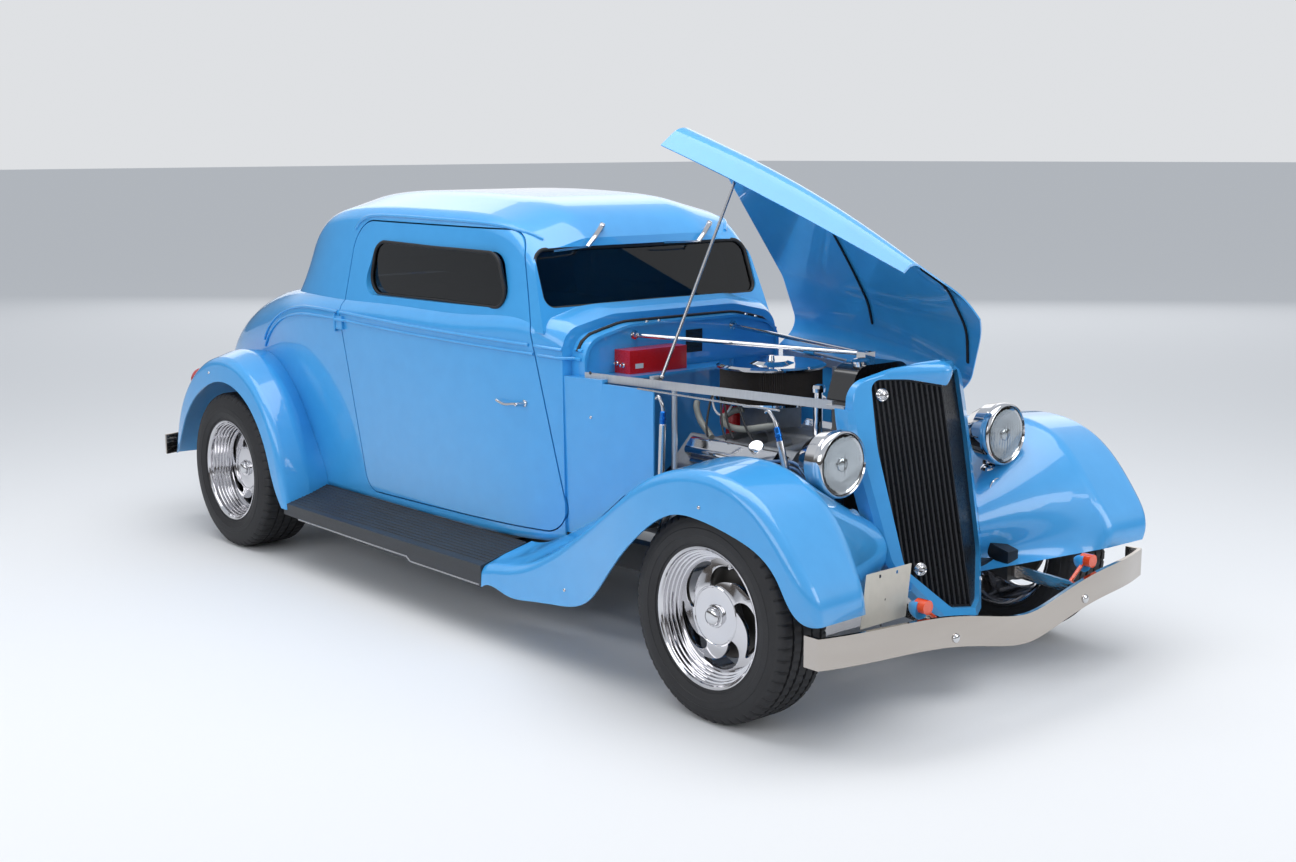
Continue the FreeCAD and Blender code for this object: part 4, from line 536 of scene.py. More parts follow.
BELT = [(0.62, 0.948), (0.45, 0.962), (0.20, 0.972), (-0.22, 0.984), (-0.59, 0.998), (-0.80, 1.002), (-0.94, 0.998),
        (-1.08, 0.975), (-1.18, 0.938), (-1.27, 0.885), (-1.33, 0.830)]
DRIP = [(0.385, 1.300), (0.33, 1.330), (0.20, 1.349), (-0.10, 1.357), (-0.46, 1.360), (-0.58, 1.345),
        (-0.640, 1.300)]
BELT_GAP = 0.028  # from the upper bead down to the lower
BEAD, DRIP_BEAD = 0.0060, 0.0065
PROUD = 0.0012  # a bead's middle outside the sheet
BREAK = 0.045  # a longer jump than this between points is a shut line
SPACING = 0.015  # from point to point along a bead
BESIDE = 1.0  # outside the widest part of the body, where rays towards its sides start


def along_side(rows, drop):
    """Evenly spaced points along (x, z) rows on the side of the body, lowered by a drop."""
    line = [Vector((x, 0, z - drop)) for x, z in rows]
    path = []
    for i in range(len(line) - 1):
        p1, p2 = line[i], line[i + 1]
        path += bend(line[max(i - 1, 0)], p1, p2, line[min(i + 2, len(line) - 1)],
                     max(2, int((p2 - p1).length / SPACING)))
    return path


def panel_runs(rows, drop, sign, door):
    """The line cut where it passes from one panel to another: lists of a panel's name and its points."""
    run, runs = [], []
    for p in along_side(rows, drop):
        hit = cast(["cab", door], (p.x, sign * BESIDE, p.z), (0, -sign, 0))
        if hit is None:
            continue
        on = hit[0] + Vector((0, sign * PROUD, 0))
        if run and (run[0] != hit[2] or (on - run[-1]).length > BREAK):
            runs.append(run)
            run = []
        if not run:
            run = [hit[2]]
        run.append(on)
    runs.append(run)
    return [run for run in runs if len(run) > 4]


for side, sign in SIDES:
    door = "door_" + side
    for label, rows, drop, radius in (("belt_upper", BELT, 0.0, BEAD), ("belt_lower", BELT, BELT_GAP, BEAD),
                                      ("drip_rail", DRIP, 0.0, DRIP_BEAD)):
        for i, (panel, *points) in enumerate(panel_runs(rows, drop, sign, door)):
            tube("%s_%s_%d" % (label, side, i), points, radius, enamel, door if panel == door else "chassis",
                 smooth=False, sides=8)

# ---- glass
# Laminated screen and toughened side and rear panes, all with a dark grey tint, set in rubber gaskets.
# Each gasket is extruded black rubber, pressed over the opening's flange by hand.

SCREEN_RAKE, REAR_RAKE = math.radians(19.8), math.radians(35.5)  # how far each pane leans back from upright
# tinted glass, IOR 1.5: a dark grey see-through sheet, with dust as a faint change in gloss over 40 mm
tint = surface("tinted_glass", "#30363c", "#282d32", 40.0, 0.0, 0.1, (0.0, 0.04), IOR=1.5, Transmission_Weight=1.0)
dress(["fixed_glass", "glass_left", "glass_right"], tint)


def hull_ring(points):
    """Convex outline of (u, v, point) rows, in order."""
    rows = sorted(points, key=lambda r: (r[0], r[1]))

    def half(seq):
        line = []
        for r in seq:
            while len(line) > 1 and ((line[-1][0] - line[-2][0]) * (r[1] - line[-2][1])
                                     - (line[-1][1] - line[-2][1]) * (r[0] - line[-2][0])) <= 0:
                line.pop()
            line.append(r)
        return line

    return [r[2] for r in half(rows)[:-1] + half(rows[::-1])[:-1]]


def gasket(name, rows, shift, grow, radius, body):
    """A bead round a pane's outer edge, with points about every 20 mm along its outline."""
    ring = hull_ring(rows)
    middle = sum(ring, Vector()) / len(ring)
    even = []
    for i, a in enumerate(ring):
        b = ring[(i + 1) % len(ring)]
        parts = max(1, int((b - a).length / 0.02))
        even += [a.lerp(b, k / parts) for k in range(parts)]
    placed = [p + (p - middle).normalized() * grow + shift for p in even]
    return tube(name, placed, radius, rubber, body, closed=True, smooth=False, sides=8)


for side, sign in SIDES:
    low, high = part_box("glass_" + side)
    face = high.y if sign > 0 else low.y
    rows = [(v.co.x, v.co.z, v.co.copy()) for v in nodes["glass_" + side].data.vertices
            if abs(v.co.y - face) < 1e-4]
    gasket("side_gasket_" + side, rows, Vector((0, sign * 0.004, 0)), -0.003, 0.006, "door_" + side)
for name, way, rake, slack, shift, grow, radius in (("screen_gasket", 1, SCREEN_RAKE, 1e-4, 0.004, -0.003, 0.007),
                                                    ("rear_gasket", -1, REAR_RAKE, 2e-4, 0.003, -0.002, 0.006)):
    pane = [v.co.copy() for v in nodes["fixed_glass"].data.vertices if v.co.x * way > 0]
    lean = Vector((way * math.cos(rake), 0, math.sin(rake)))
    face = max(p.dot(lean) for p in pane)
    rows = [(p.y, p.z, p) for p in pane if p.dot(lean) > face - slack]
    gasket(name, rows, lean * shift, grow, radius, "chassis")

# ---- firewall fittings
# A welt of black rubber that the hood shuts on, with studs along it, a vent and the ends of the stay rods.
# A red electronics box, its two cable ends and its blank tag sit on the cowl ledge; all are screwed on.

STUD = [(-0.001, 0.0065), (0.001, 0.0065), (0.0035, 0.005), (0.0045, 0.001)]
FLANGE = [(0.0, 0.017), (0.003, 0.017), (0.005, 0.010), (0.018, 0.009), (0.020, 0.0065)]
CABLE_END = [(-0.001, 0.008), (0.004, 0.008), (0.006, 0.005), (0.016, 0.005), (0.018, 0.003)]
COWL_CENTRE = Vector((0.600, 0, 0.70))  # middle of the arch that the welt follows
WELT_END = 0.885  # the welt's ends are at this height
# powder coat with a 1.4 mm crinkle under a thin clear coat: strong red, shiny but broken up
red_paint = surface("red_crinkle_paint", "#c8141b", "#ad1016", 1.4, 0.25, 0.4, (0.22, 0.34), Coat_Weight=0.4)
# blank foil label, drawn with a 2 mm grain: pale grey, half matt
tag = surface("blank_tag", "#c9cac6", "#b9bab6", 2.0, 0.1, 0.2, (0.4, 0.5))
dress(["ignition_box"], red_paint)
dress(["stay_rods"], chrome)


def plate(name, centre, size, hole, material, body):
    """A square plate in the X-Z plane with a square hole, its edges rolled by a bevel."""
    w, t, h = size[0] / 2, size[1] / 2, size[2] / 2
    k = hole / 2
    ring = [(-w, -h), (w, -h), (w, h), (-w, h)]
    gap = [(-k, -k), (k, -k), (k, k), (-k, k)]
    verts = [Vector(centre) + Vector((x, y, z)) for y in (-t, t) for x, z in ring + gap]
    faces = []
    for i in range(4):
        j = (i + 1) % 4
        faces += [(i, j, 4 + j, 4 + i), (8 + j, 8 + i, 12 + i, 12 + j), (j, i, 8 + i, 8 + j),
                  (4 + i, 4 + j, 12 + j, 12 + i)]
    piece = mesh_piece(name, verts, faces, material, body, 30.0)
    round_edges(piece, 0.0008, 2)
    apply_modifiers(piece)
    return piece


welt = []
for step in range(-60, 61, 4):
    turn = math.radians(step * 1.02)
    out = Vector((0, math.sin(turn), math.cos(turn)))
    hit = cast(["cab"], COWL_CENTRE + out * 0.9, -out)
    if hit and hit[0].z > WELT_END:
        welt.append(hit[0] + out * 0.003)
tube("cowl_welt", welt, 0.006, rubber, "chassis", smooth=False)
for i, y in enumerate((-0.168, -0.114, 0.293, 0.340)):
    seat_fitting("welt_stud_%d" % i, STUD, ["cab"], (0.606, y, ABOVE), (0, 0, -1), 20, (0.018, 0, 0))
for i in range(6):
    z = 0.975 - 0.0115 * i
    tube("vent_slat_%d" % i, [(0.6285, 0.012, z), (0.6285, 0.074, z)], 0.003, satin_black, "chassis", smooth=False,
         flat=(0.0022, 0.0045))
plate("vent_frame", (0.6275, 0.043, 0.946), (0.003, 0.074, 0.078), 0.0005, satin_black, "chassis")
low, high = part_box("stay_rods")
for side, sign in SIDES:
    lathe("stay_flange_" + side, FLANGE, (0.6255, sign * (high.y - 0.005), high.z - 0.0055), (1, 0, -0.04), chrome,
          "chassis", 6, 20.0)
for i, (x, z) in enumerate(((0.640, 0.900), (0.672, 0.896))):
    seat_fitting("coil_box_fitting_%d" % i, CABLE_END, ["ignition_box"], (x, -0.5, z), (0, 1, 0), 16)
on = cast(["ignition_box"], (0.9, -0.27, 0.893), (-1, 0, 0))
if on and on[0].x < 0.80:
    label = plate("blank_tag", (0, 0, 0), (0.034, 0.0012, 0.016), 0.0004, tag, "chassis")
    label.data.transform(Matrix.Translation(on[0] + Vector((0.0006, 0, 0)))
                         @ Matrix.Rotation(math.radians(90), 4, "Z"))

# ---- hood rails
# Milled aluminium rails along the top of the engine bay, with brackets, a lock rod and dark screws.
# Two stainless struts with blue anodised collars brace them to the frame.

SCREW = [(-0.001, 0.0055), (0.0012, 0.0055), (0.002, 0.0045), (0.0006, 0.0030), (0.0004, 0.001)]
COLLAR = [(-0.003, 0.006), (0.0, 0.0095), (0.016, 0.0095), (0.018, 0.011), (0.026, 0.011), (0.028, 0.0095),
          (0.040, 0.0095), (0.042, 0.007)]
# milled aluminium: pale and satin, with cutter marks across the rail, 3.8 mm long and 0.3 mm apart
mill = surface("mill_aluminium", "#c9cbce", "#b4b6b9", 3.8, 0.12, 0.3, (0.34, 0.5), (12, 1, 1), Metallic=0.85)
# blue anodising over turned alloy: a saturated metallic blue, its tool marks drawn coarse at 3.3 mm
blue_anodised = surface("blue_anodised", "#1f6fc0", "#175ca6", 3.3, 0.1, 0.3, (0.2, 0.3), Metallic=0.85)
dress(["hood_rails"], mill)


def rail_point(x, z):
    """Where the right rail's outer face is, or None past its ends."""
    hit = cast(["hood_rails"], (x, -0.60, z), (0, 1, 0))
    return hit[0] if hit and hit[0].y < -0.43 else None


for i, (x, z) in enumerate(((0.675, 0.884), (0.712, 0.884), (0.943, 0.888), (0.985, 0.888), (1.330, 0.888),
                            (1.500, 0.889), (1.550, 0.889))):
    on = rail_point(x, z)
    if on:
        lathe("rail_screw_%d" % i, SCREW, on, (0, -1, 0), dark_iron, "chassis", 16)
for i, x in enumerate((0.895, 0.965, 1.440, 1.520)):
    on = rail_point(x, 0.880)
    if on:
        plate("rail_bracket_%d" % i, (x, on.y + 0.0045, 0.862), (0.030, 0.0035, 0.034), 0.009, mill, "chassis")
tube("rail_lock_rod", [(0.900, -0.446, 0.856), (1.200, -0.446, 0.856), (1.520, -0.446, 0.858)], 0.0032, stainless,
     "chassis")
for label, top, mid, foot in (("rear", (0.976, -0.425, 0.836), (0.990, -0.420, 0.790), (0.952, -0.400, 0.470)),
                              ("front", (1.432, -0.400, 0.842), (1.462, -0.396, 0.795), (1.520, -0.390, 0.600))):
    top, mid, foot = Vector(top), Vector(mid), Vector(foot)
    way = (foot - mid).normalized()
    length = (foot - mid).length
    tube("strut_hook_" + label, [top + Vector((-0.012, 0, -0.006)), top,
                                 top.lerp(mid, 0.5) + Vector((0.006, 0, 0)), mid], 0.0055, stainless, "chassis")
    lathe("strut_fitting_" + label, COLLAR, mid, way, blue_anodised, "chassis", 24)
    lathe("strut_" + label, [(0.038, 0.0085), (0.040, 0.0110), (length - 0.03, 0.0110), (length - 0.028, 0.0130),
                             (length, 0.0130)], mid, way, stainless, "chassis", 24)

# ---- hood underside
# The hood's inner face is painted with the outside; two dark flat strips in the black rubber finish cross it, and
# latches hold it shut.
# The latches are chromed handles on pivots near its edge; a polished prop rod holds it open.

LATCH_POST = [(-0.002, 0.012), (0.003, 0.012), (0.005, 0.006), (0.012, 0.0055), (0.014, 0.008), (0.020, 0.008),
              (0.022, 0.004)]
GRIP_HEIGHT = 0.017  # a latch's handle above the sheet
dress(["prop_rod"], stainless)
hinge = next(j for j in frame["joints"] if j["name"] == "hood_hinge")
pin = Vector(hinge["pos_m"])
opened = Matrix.Rotation(-math.radians(hinge["range_deg"][1]), 3, Vector(hinge["axis"]))


def under_hood(x, y):
    """A point on the open hood's inner face, from its place when shut, and the face's normal."""
    start = opened @ (Vector((x, y, 0.78)) - pin) + pin
    hit = cast(["hood"], start, opened @ Vector((0, 0, 1)))
    return (hit[0], hit[1]) if hit else None


# two dark flat strips across the hood's inner face, in the black rubber finish
for label, x, first, last in (("front", 1.600, -0.21, 0.20), ("rear", 1.080, -0.37, 0.29)):
    strip = []
    for step in range(31):
        y = first + (last - first) * step / 30
        found = under_hood(x + 0.02 * math.cos(y * 5), y)
        if found:
            strip.append(found[0] + found[1] * 0.002)
    tube("hood_strip_" + label, strip, 0.004, rubber, "hood", smooth=False, sides=8, flat=(0.009, 0.004))
for label, x, y in (("front", 1.340, -0.362), ("rear", 0.800, -0.405)):
    found = under_hood(x, y)
    if found:
        base, normal = found
        lathe("hood_latch_%s_post" % label, LATCH_POST, base, normal, chrome, "hood", 20)
        way = (opened @ Vector((-0.95, -0.10, -0.20))).normalized()
        top = base + normal * GRIP_HEIGHT
        tube("hood_latch_%s_handle" % label, [top - way * 0.010, top + way * 0.018,
                                              top + way * 0.034 + normal * 0.006,
                                              top + way * 0.050 + normal * 0.004], 0.0042, chrome, "hood")

# ---- grille
# Upright steel bars in a painted shell, painted satin charcoal.
# Each is screwed on at the top; two round chromed medallions, left plain, are clipped over them.

MEDALLION = [(-0.010, 0.019), (0.003, 0.019), (0.0045, 0.0175), (0.0032, 0.0155), (0.0050, 0.0135),
             (0.0036, 0.0110), (0.0056, 0.0085), (0.0068, 0.004), (0.0070, 0.001)]
# charcoal metallic paint: dark, with a streaky shine down each bar, 3.3 mm wide and five times as long
bars = surface("charcoal_bar_paint", "#2c2d30", "#3b3c40", 3.3, 0.2, 0.3, (0.22, 0.36), (1, 1, 0.2), Metallic=0.55)
dress(["grille_bars"], bars)
for i, (y, z) in enumerate(((-0.166, 0.890), (-0.122, 0.388))):
    # the foremost bar within 8 mm of the place
    tries = [cast(["grille_bars"], (2.2, y + step, z), (-1, 0, 0)) for step in (-0.008, -0.004, 0.0, 0.004, 0.008)]
    on = max((t for t in tries if t), key=lambda t: t[0].x, default=None)
    if on:
        lathe("grille_stud_%d" % i, MEDALLION, on[0] + Vector((0.003, -0.002, 0)), (0.87, -0.47, 0.12), chrome,
              "chassis", 40, 20.0)

# ---- lamp stands and horns
# A chromed ball joint under each lamp, with a small chromed trumpet horn on the stand's inner side.
# Each is bolted through the fender's inner apron.

BALL = [(-0.030, 0.010), (-0.024, 0.020), (-0.014, 0.027), (0.0, 0.0300), (0.014, 0.027), (0.024, 0.019),
        (0.030, 0.008)]
TRUMPET = [(-0.055, 0.012), (-0.050, 0.018), (-0.020, 0.021), (-0.010, 0.026), (0.004, 0.036), (0.010, 0.0395),
           (0.012, 0.038), (0.004, 0.028), (-0.006, 0.018), (-0.010, 0.002)]
for side, sign in SIDES:
    lathe("lamp_ball_" + side, BALL, (1.640, sign * 0.371, 0.590), (0, 0, 1), chrome, "chassis", 40, 60)
    lathe("horn_" + side, TRUMPET, (1.690, sign * 0.335, 0.545), (1, 0, 0), chrome, "chassis", 48)

# ---- headlamps
# Chromed steel bowls with fluted glass over a bright reflector and a shield in front of the bulb.
# A rolled chrome rim clips the glass to the bowl.

REFLECTOR = [(0.0012, 0.001), (0.0014, 0.012), (0.0020, 0.030), (0.0035, 0.055), (0.0060, 0.080),
             (0.0068, 0.0845), (0.0030, 0.0855)]
SHIELD = [(0.0035, 0.020), (0.0075, 0.0195), (0.0095, 0.016), (0.0105, 0.001)]
RIM = [(0.0055, 0.0868), (0.0090, 0.0885), (0.0130, 0.0905), (0.0105, 0.0950), (0.0040, 0.0975),
       (-0.0040, 0.0985), (-0.010, 0.0975), (-0.010, 0.0930), (0.0000, 0.0880)]
GLASS_THICK, DOME, GLASS_FRONT = 0.003, 0.0075, 0.0078  # the dome stands over its edge, which is at GLASS_FRONT
FLUTE, FLUTE_DEEP = 0.0125, 0.0011  # the flutes' width, and their depth on the inner face
RINGS, ROUND = 22, 72
# pressed lamp glass, IOR 1.5: clear, very slightly blue and wavy over 5 mm, so what is behind it glitters
lens_glass = surface("lamp_glass", "#e9eef0", "#dfe5e8", 5.0, 0.05, 0.2, (0.02, 0.05), IOR=1.5,
                     Transmission_Weight=1.0)
dress(["headlamps"], chrome)


def fluted_glass(centre, radius):
    """Points and faces of a domed disc of glass, plain outside and fluted inside."""
    verts, faces = [], []
    for inner in range(2):
        for i in range(RINGS + 1):
            r = (radius - 0.0005) * i / RINGS
            for k in range(ROUND):
                turn = 2 * math.pi * k / ROUND
                y = r * math.cos(turn)
                dome = DOME * (1 - (r / radius) ** 2) + GLASS_FRONT
                flute = FLUTE_DEEP * abs(math.sin(y / FLUTE * math.pi)) if inner else 0.0
                verts.append(centre + Vector((dome - flute - inner * GLASS_THICK, y, r * math.sin(turn))))
    layer = (RINGS + 1) * ROUND
    for f in ring_faces(RINGS + 1, ROUND):
        faces.append(tuple(reversed(f)))
    for f in ring_faces(RINGS + 1, ROUND):
        faces.append(tuple(layer + n for n in f))
    edge = RINGS * ROUND
    faces += [(edge + k, edge + (k + 1) % ROUND, layer + edge + (k + 1) % ROUND, layer + edge + k)
              for k in range(ROUND)]
    return verts, faces


low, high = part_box("headlamp_lenses")
radius = (high.z - low.z) / 2
for side, sign in SIDES:
    centre = Vector((low.x, sign * (high.y - radius), (high.z + low.z) / 2))
    lathe("reflector_" + side, REFLECTOR, centre, (1, 0, 0), chrome, "chassis", 64)
    verts, faces = fluted_glass(centre, radius)
    lens = mesh_piece("fluted_lens_" + side, verts, faces, lens_glass, "chassis", 30.0)
    if side == "right":
        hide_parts("headlamp_lenses")
    lathe("bulb_shield_" + side, SHIELD, centre, (1, 0, 0), chrome, "chassis", 32)
    lathe("lamp_rim_" + side, RIM, centre, (1, 0, 0), chrome, "chassis", 72, 40.0, True)

# ---- turn signals and tail lamps
# Amber blocks in painted backs below the grille shell, and red lamps frenched into the rear fenders.
# Moulded plastic lenses; each signal is held by one chromed bolt.

# moulded plastic lens: saturated and glassy, its inner ribs drawn 2 mm long to break up the highlight;
# they lie level in the amber lenses and stand upright in the red
amber = surface("amber_lens", "#e8501a", "#d9420f", 2.0, 0.25, 0.6, (0.08, 0.16), (1, 1, 6), Coat_Weight=1.0,
                Coat_Roughness=0.03, Subsurface_Weight=0.15, Subsurface_Scale=0.01)
red_lens = surface("red_lens", "#b41418", "#93090e", 2.0, 0.25, 0.6, (0.08, 0.16), (1, 6, 1), Coat_Weight=1.0,
                   Coat_Roughness=0.03, Subsurface_Weight=0.15, Subsurface_Scale=0.01)
dress(["turn_signals"], amber)
dress(["tail_lamps"], red_lens)
BACK_ROWS, BACK_STEPS = 9, 28
BACK_LONG, BACK_WIDE, BACK_TALL, BACK_RISE = 0.045, 0.0255, 0.026, 0.004


def signal_back(centre):
    """Points of a rounded square housing that closes to a point behind, and rises a little."""
    verts = []
    for i in range(BACK_ROWS):
        t = i / (BACK_ROWS - 1)
        grow = math.cos(t * math.pi / 2) ** 0.6 if t < 1 else 0.02
        for k in range(BACK_STEPS):
            c, s = math.cos(2 * math.pi * k / BACK_STEPS), math.sin(2 * math.pi * k / BACK_STEPS)
            fit = 1.0 / max(abs(c) ** 3 + abs(s) ** 3, 1e-6) ** (1 / 3)
            verts.append(centre + Vector((-BACK_LONG * t, c * fit * BACK_WIDE * grow,
                                          s * fit * BACK_TALL * grow + BACK_RISE * t)))
    return verts


low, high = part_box("turn_signals")
for side, sign in SIDES:
    centre = Vector((low.x + 0.013, sign * (high.y - 0.020), (low.z + high.z) / 2 + 0.012))
    faces = [(a, d, c, b) for a, b, c, d in ring_faces(BACK_ROWS, BACK_STEPS)]
    faces += [tuple(range(BACK_STEPS)),
              tuple((BACK_ROWS - 1) * BACK_STEPS + k for k in range(BACK_STEPS - 1, -1, -1))]
    mesh_piece("signal_back_" + side, signal_back(centre), faces, enamel, "chassis", 40.0)
    lathe("signal_bolt_" + side, [(0, 0.0075), (0.004, 0.0075), (0.0055, 0.0058), (0.006, 0.001)],
          Vector((high.x - 0.012, centre.y, low.z + 0.004)), (1, 0, 0), chrome, "chassis", 6, 20.0)

# ---- bumpers
# Chromed steel bars with curled ribbed ends, each on two irons from the frame.
# Domed chrome bolts hold the front bar to its irons.

BOLT = [(-0.004, 0.013), (0.003, 0.013), (0.006, 0.011), (0.008, 0.007), (0.009, 0.001)]
IRON = 0.30  # from the middle of the car to each iron
# plate over hand-finished bar: a mirror that wanders, with 38.5 mm waves 2 mm deep drawn out across the car
# its warm brown tint, darker in broad patches, is a painted reflection of brown ground
bumper_chrome_painted_reflection = surface("bumper_chrome", "#c9c2bb", "#a79f97", 38.5, 0.30, 2.0, (0.05, 0.13), (1, 0.5, 3),
                       Metallic=1.0)
dress(["front_bumper", "rear_bumper"], bumper_chrome_painted_reflection)
low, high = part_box("front_bumper")
for side, sign in SIDES:
    seat_fitting("bumper_bolt_" + side, BOLT, ["front_bumper"], (high.x + 0.1, sign * IRON, (low.z + high.z) / 2),
                 (-1, 0, 0), 32)

# ---- plate
# A blank tin plate with a faint rolled edge and two bolt holes, hung from a black iron bracket.
# It is left bare, and leans with the bracket beside the grille shell.

TOP_OUTER, TOP_INNER = Vector((1.952, -0.550, 0.478)), Vector((1.948, -0.362, 0.478))
BOTTOM_OUTER = Vector((1.948, -0.566, 0.330))
COLUMNS, ROWS = 24, 16
TIN_THICK, ROLL = 0.0012, 0.0010
HOLES = ((7, 1), (16, 1))  # the squares left open, by column and row
# bare tinplate, lightly weathered: warm pale grey and half matt, with a 2.4 mm spangle
tin = surface("bare_tin_plate", "#c9c5bb", "#bbb7ad", 2.4, 0.15, 0.3, (0.4, 0.55), Metallic=0.05)
dress(["front_plate"], tin)
across = (TOP_INNER - TOP_OUTER) / COLUMNS
down = (BOTTOM_OUTER - TOP_OUTER) / ROWS
wide = COLUMNS + 1  # points in a row
layer = wide * (ROWS + 1)  # points in a face of the plate
verts, faces = [], []
for back in (0.0, -TIN_THICK):
    for j in range(ROWS + 1):
        for i in range(wide):
            edge = max(abs(2 * i / COLUMNS - 1), abs(2 * j / ROWS - 1))
            roll = ROLL if 0.90 < edge < 0.97 else 0.0
            verts.append(TOP_OUTER + across * i + down * j + Vector((roll + back, 0, 0)))
for j in range(ROWS):
    for i in range(COLUMNS):
        if (i, j) in HOLES:
            continue
        a = j * wide + i
        faces += [(a, a + wide, a + wide + 1, a + 1),
                  (a + layer, a + layer + 1, a + layer + wide + 1, a + layer + wide)]
rim_line = ([(i, 0) for i in range(COLUMNS)] + [(COLUMNS, j) for j in range(ROWS)]
            + [(i, ROWS) for i in range(COLUMNS, 0, -1)] + [(0, j) for j in range(ROWS, 0, -1)])
for k, (i, j) in enumerate(rim_line):
    m, n = rim_line[(k + 1) % len(rim_line)]
    faces.append((j * wide + i, n * wide + m, n * wide + m + layer, j * wide + i + layer))
tin_plate = mesh_piece("blank_plate", verts, faces, tin, "chassis", 30.0)
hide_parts("front_plate")
tube("plate_iron", [(1.940, -0.46, 0.400), (1.928, -0.46, 0.350), (1.922, -0.455, 0.318)], 0.006, satin_black,
     "chassis", flat=(0.014, 0.003))

# ---- wipers
# Chromed spring steel arms with flat blades, pivoted on the header over the screen.
# Each pivot is a turned cap over the shaft.

dress(["wipers"], chrome)
# tip of the blade, where the arm meets it, and the pivot
for label, tip, elbow, pivot in (
        ("right", (0.446, -0.420, 1.262), (0.446, -0.276, 1.272), (0.395, -0.170, 1.338)),
        ("left", (0.446, 0.064, 1.272), (0.446, 0.228, 1.270), (0.395, 0.330, 1.330))):
    tip, elbow, pivot = Vector(tip), Vector(elbow), Vector(pivot)
    tube("wiper_blade_" + label, [tip, tip.lerp(elbow, 0.5) + Vector((0.004, 0, 0)), elbow], 0.004, chrome,
         "chassis", flat=(0.0030, 0.0062))
    arm = tube("wiper_arm_" + label, [elbow, elbow.lerp(pivot, 0.4) + Vector((0.008, 0, 0.006)), pivot], 0.004,
               chrome, "chassis", flat=(0.0085, 0.0040))
    lathe("wiper_pivot_" + label, [(-0.014, 0.011), (0.000, 0.011), (0.006, 0.009), (0.008, 0.002)], pivot,
          (0.6, 0, 0.8), chrome, "chassis", 24)
    if label == "right":
        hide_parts("wipers")

# ---- door handles
# Swan-necked chromed levers, cast and polished, that turn on a stepped boss on each door.
# The boss is screwed to the door and the lever's shaft passes through it.

BOSS = [(-0.002, 0.0125), (0.003, 0.0120), (0.006, 0.0085), (0.020, 0.0070), (0.034, 0.0072), (0.039, 0.0060),
        (0.041, 0.002)]
# the lever's line: place along the car, distance out from the door, height over the boss
LEVER = [(0.430, 0.034, 0.001), (0.410, 0.038, 0.001), (0.385, 0.037, -0.003), (0.360, 0.035, -0.006),
         (0.335, 0.034, -0.003), (0.312, 0.034, 0.003)]
dress(["door_handle_left", "door_handle_right"], chrome)
for side, sign in SIDES:
    door = "door_" + side
    low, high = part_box("door_handle_" + side)
    z = (low.z + high.z) / 2
    base = cast([door], (0.425, sign * BESIDE, z), (0, -sign, 0))[0]
    lever = tube("handle_lever_" + side, [(x, base.y + sign * out, z + rise) for x, out, rise in LEVER], 0.0045,
                 chrome, door, flat=(0.0042, 0.0050), sides=16)
    lathe("handle_boss_" + side, BOSS, base, (0, sign, 0), chrome, door, 32)
    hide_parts("door_handle_" + side)

# ---- body screws
# Small domed chromed screws that hold the fenders and side panels.
# Each is driven through the sheet into a clip behind it.

DOME_SCREW = [(-0.001, 0.0055), (0.0015, 0.0055), (0.0035, 0.0042), (0.0045, 0.001)]
for i, (x, z) in enumerate(((1.560, 0.633), (0.905, 0.262), (0.960, 0.600), (0.690, 0.742), (-1.430, 0.705))):
    for side, sign in SIDES:
        seat_fitting("body_screw_%s_%d" % (side, i), DOME_SCREW, ["front_fenders", "cab", "rear_fenders"],
                     (x, sign * BESIDE, z), (0, -sign, 0), 20)

# ---- running boards
# Moulded rubber over steel, with fine ribs along the top and a bright strip screwed to the outer edge.
# They are bolted to arms from the frame.

RIBS, FIRST_RIB, RIB_PITCH = 11, 0.555, 0.0155
SAMPLES = 60
# ribbed moulded rubber: dark blue-grey and half glossy, dusty in 3.3 mm streaks five times as long
board = surface("board_rubber", "#232529", "#30343a", 3.3, 0.3, 0.5, (0.34, 0.5), (0.2, 1, 1))
dress(["running_boards"], board)


def along_board(inset):
    """Places along the board from one end to the other, an inset in from each."""
    low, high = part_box("running_boards")
    return [low.x + inset + (high.x - low.x - 2 * inset) * step / SAMPLES for step in range(SAMPLES + 1)]


for side, sign in SIDES:
    for i in range(RIBS):
        rib = []
        for x in along_board(0.012):
            on = cast(["running_boards"], (x, sign * (FIRST_RIB + RIB_PITCH * i), 0.5), (0, 0, -1))
            if on and on[0].z > 0.19 and abs(on[1].z) > 0.4:
                rib.append(on[0] + Vector((0, 0, 0.0002)))
        if len(rib) > 5:
            tube("board_rib_%s_%d" % (side, i), rib, 0.002, board, "chassis", smooth=False, sides=6)
    edge = []
    for x in along_board(0.006):
        on = (cast(["running_boards"], (x, sign * BESIDE, 0.186), (0, -sign, 0))
              or cast(["running_boards"], (x, sign * BESIDE, 0.200), (0, -sign, 0)))
        if on:
            edge.append(on[0] + Vector((0, sign * 0.0008, 0)))
    if len(edge) > 5:
        tube("board_strip_" + side, edge, 0.003, stainless, "chassis", smooth=False, sides=8,
             flat=(0.0022, 0.0035))

# ---- cabin
# A moulded dashboard, a rim-and-spoke wheel, short black carpet and a bench in grey tweed with sewn channels.
# The cushions are foam under cloth on a sprung frame; the carpet is glued down.

CHANNEL, STITCH, STITCH_DEEP = 0.092, 0.0045, 0.010  # from seam to seam, a seam's half width, and its depth
VOXEL = 0.009
STAND_PROUD = 0.026  # how far the cloth may swell past the foam
SETTLE = 20  # frames for the cloth to settle
# moulded trim: soft black with a 2 mm leather-like grain, half matt
trim = surface("moulded_trim", "#1b1c1f", "#26272b", 2.0, 0.35, 0.5, (0.42, 0.58))
# cut pile: black and very matt with a faint sheen; 0.6 mm tufts
carpet = surface("cut_pile_carpet", "#141417", "#222226", 0.6, 0.9, 2.0, (0.8, 0.95), Sheen_Weight=0.4)
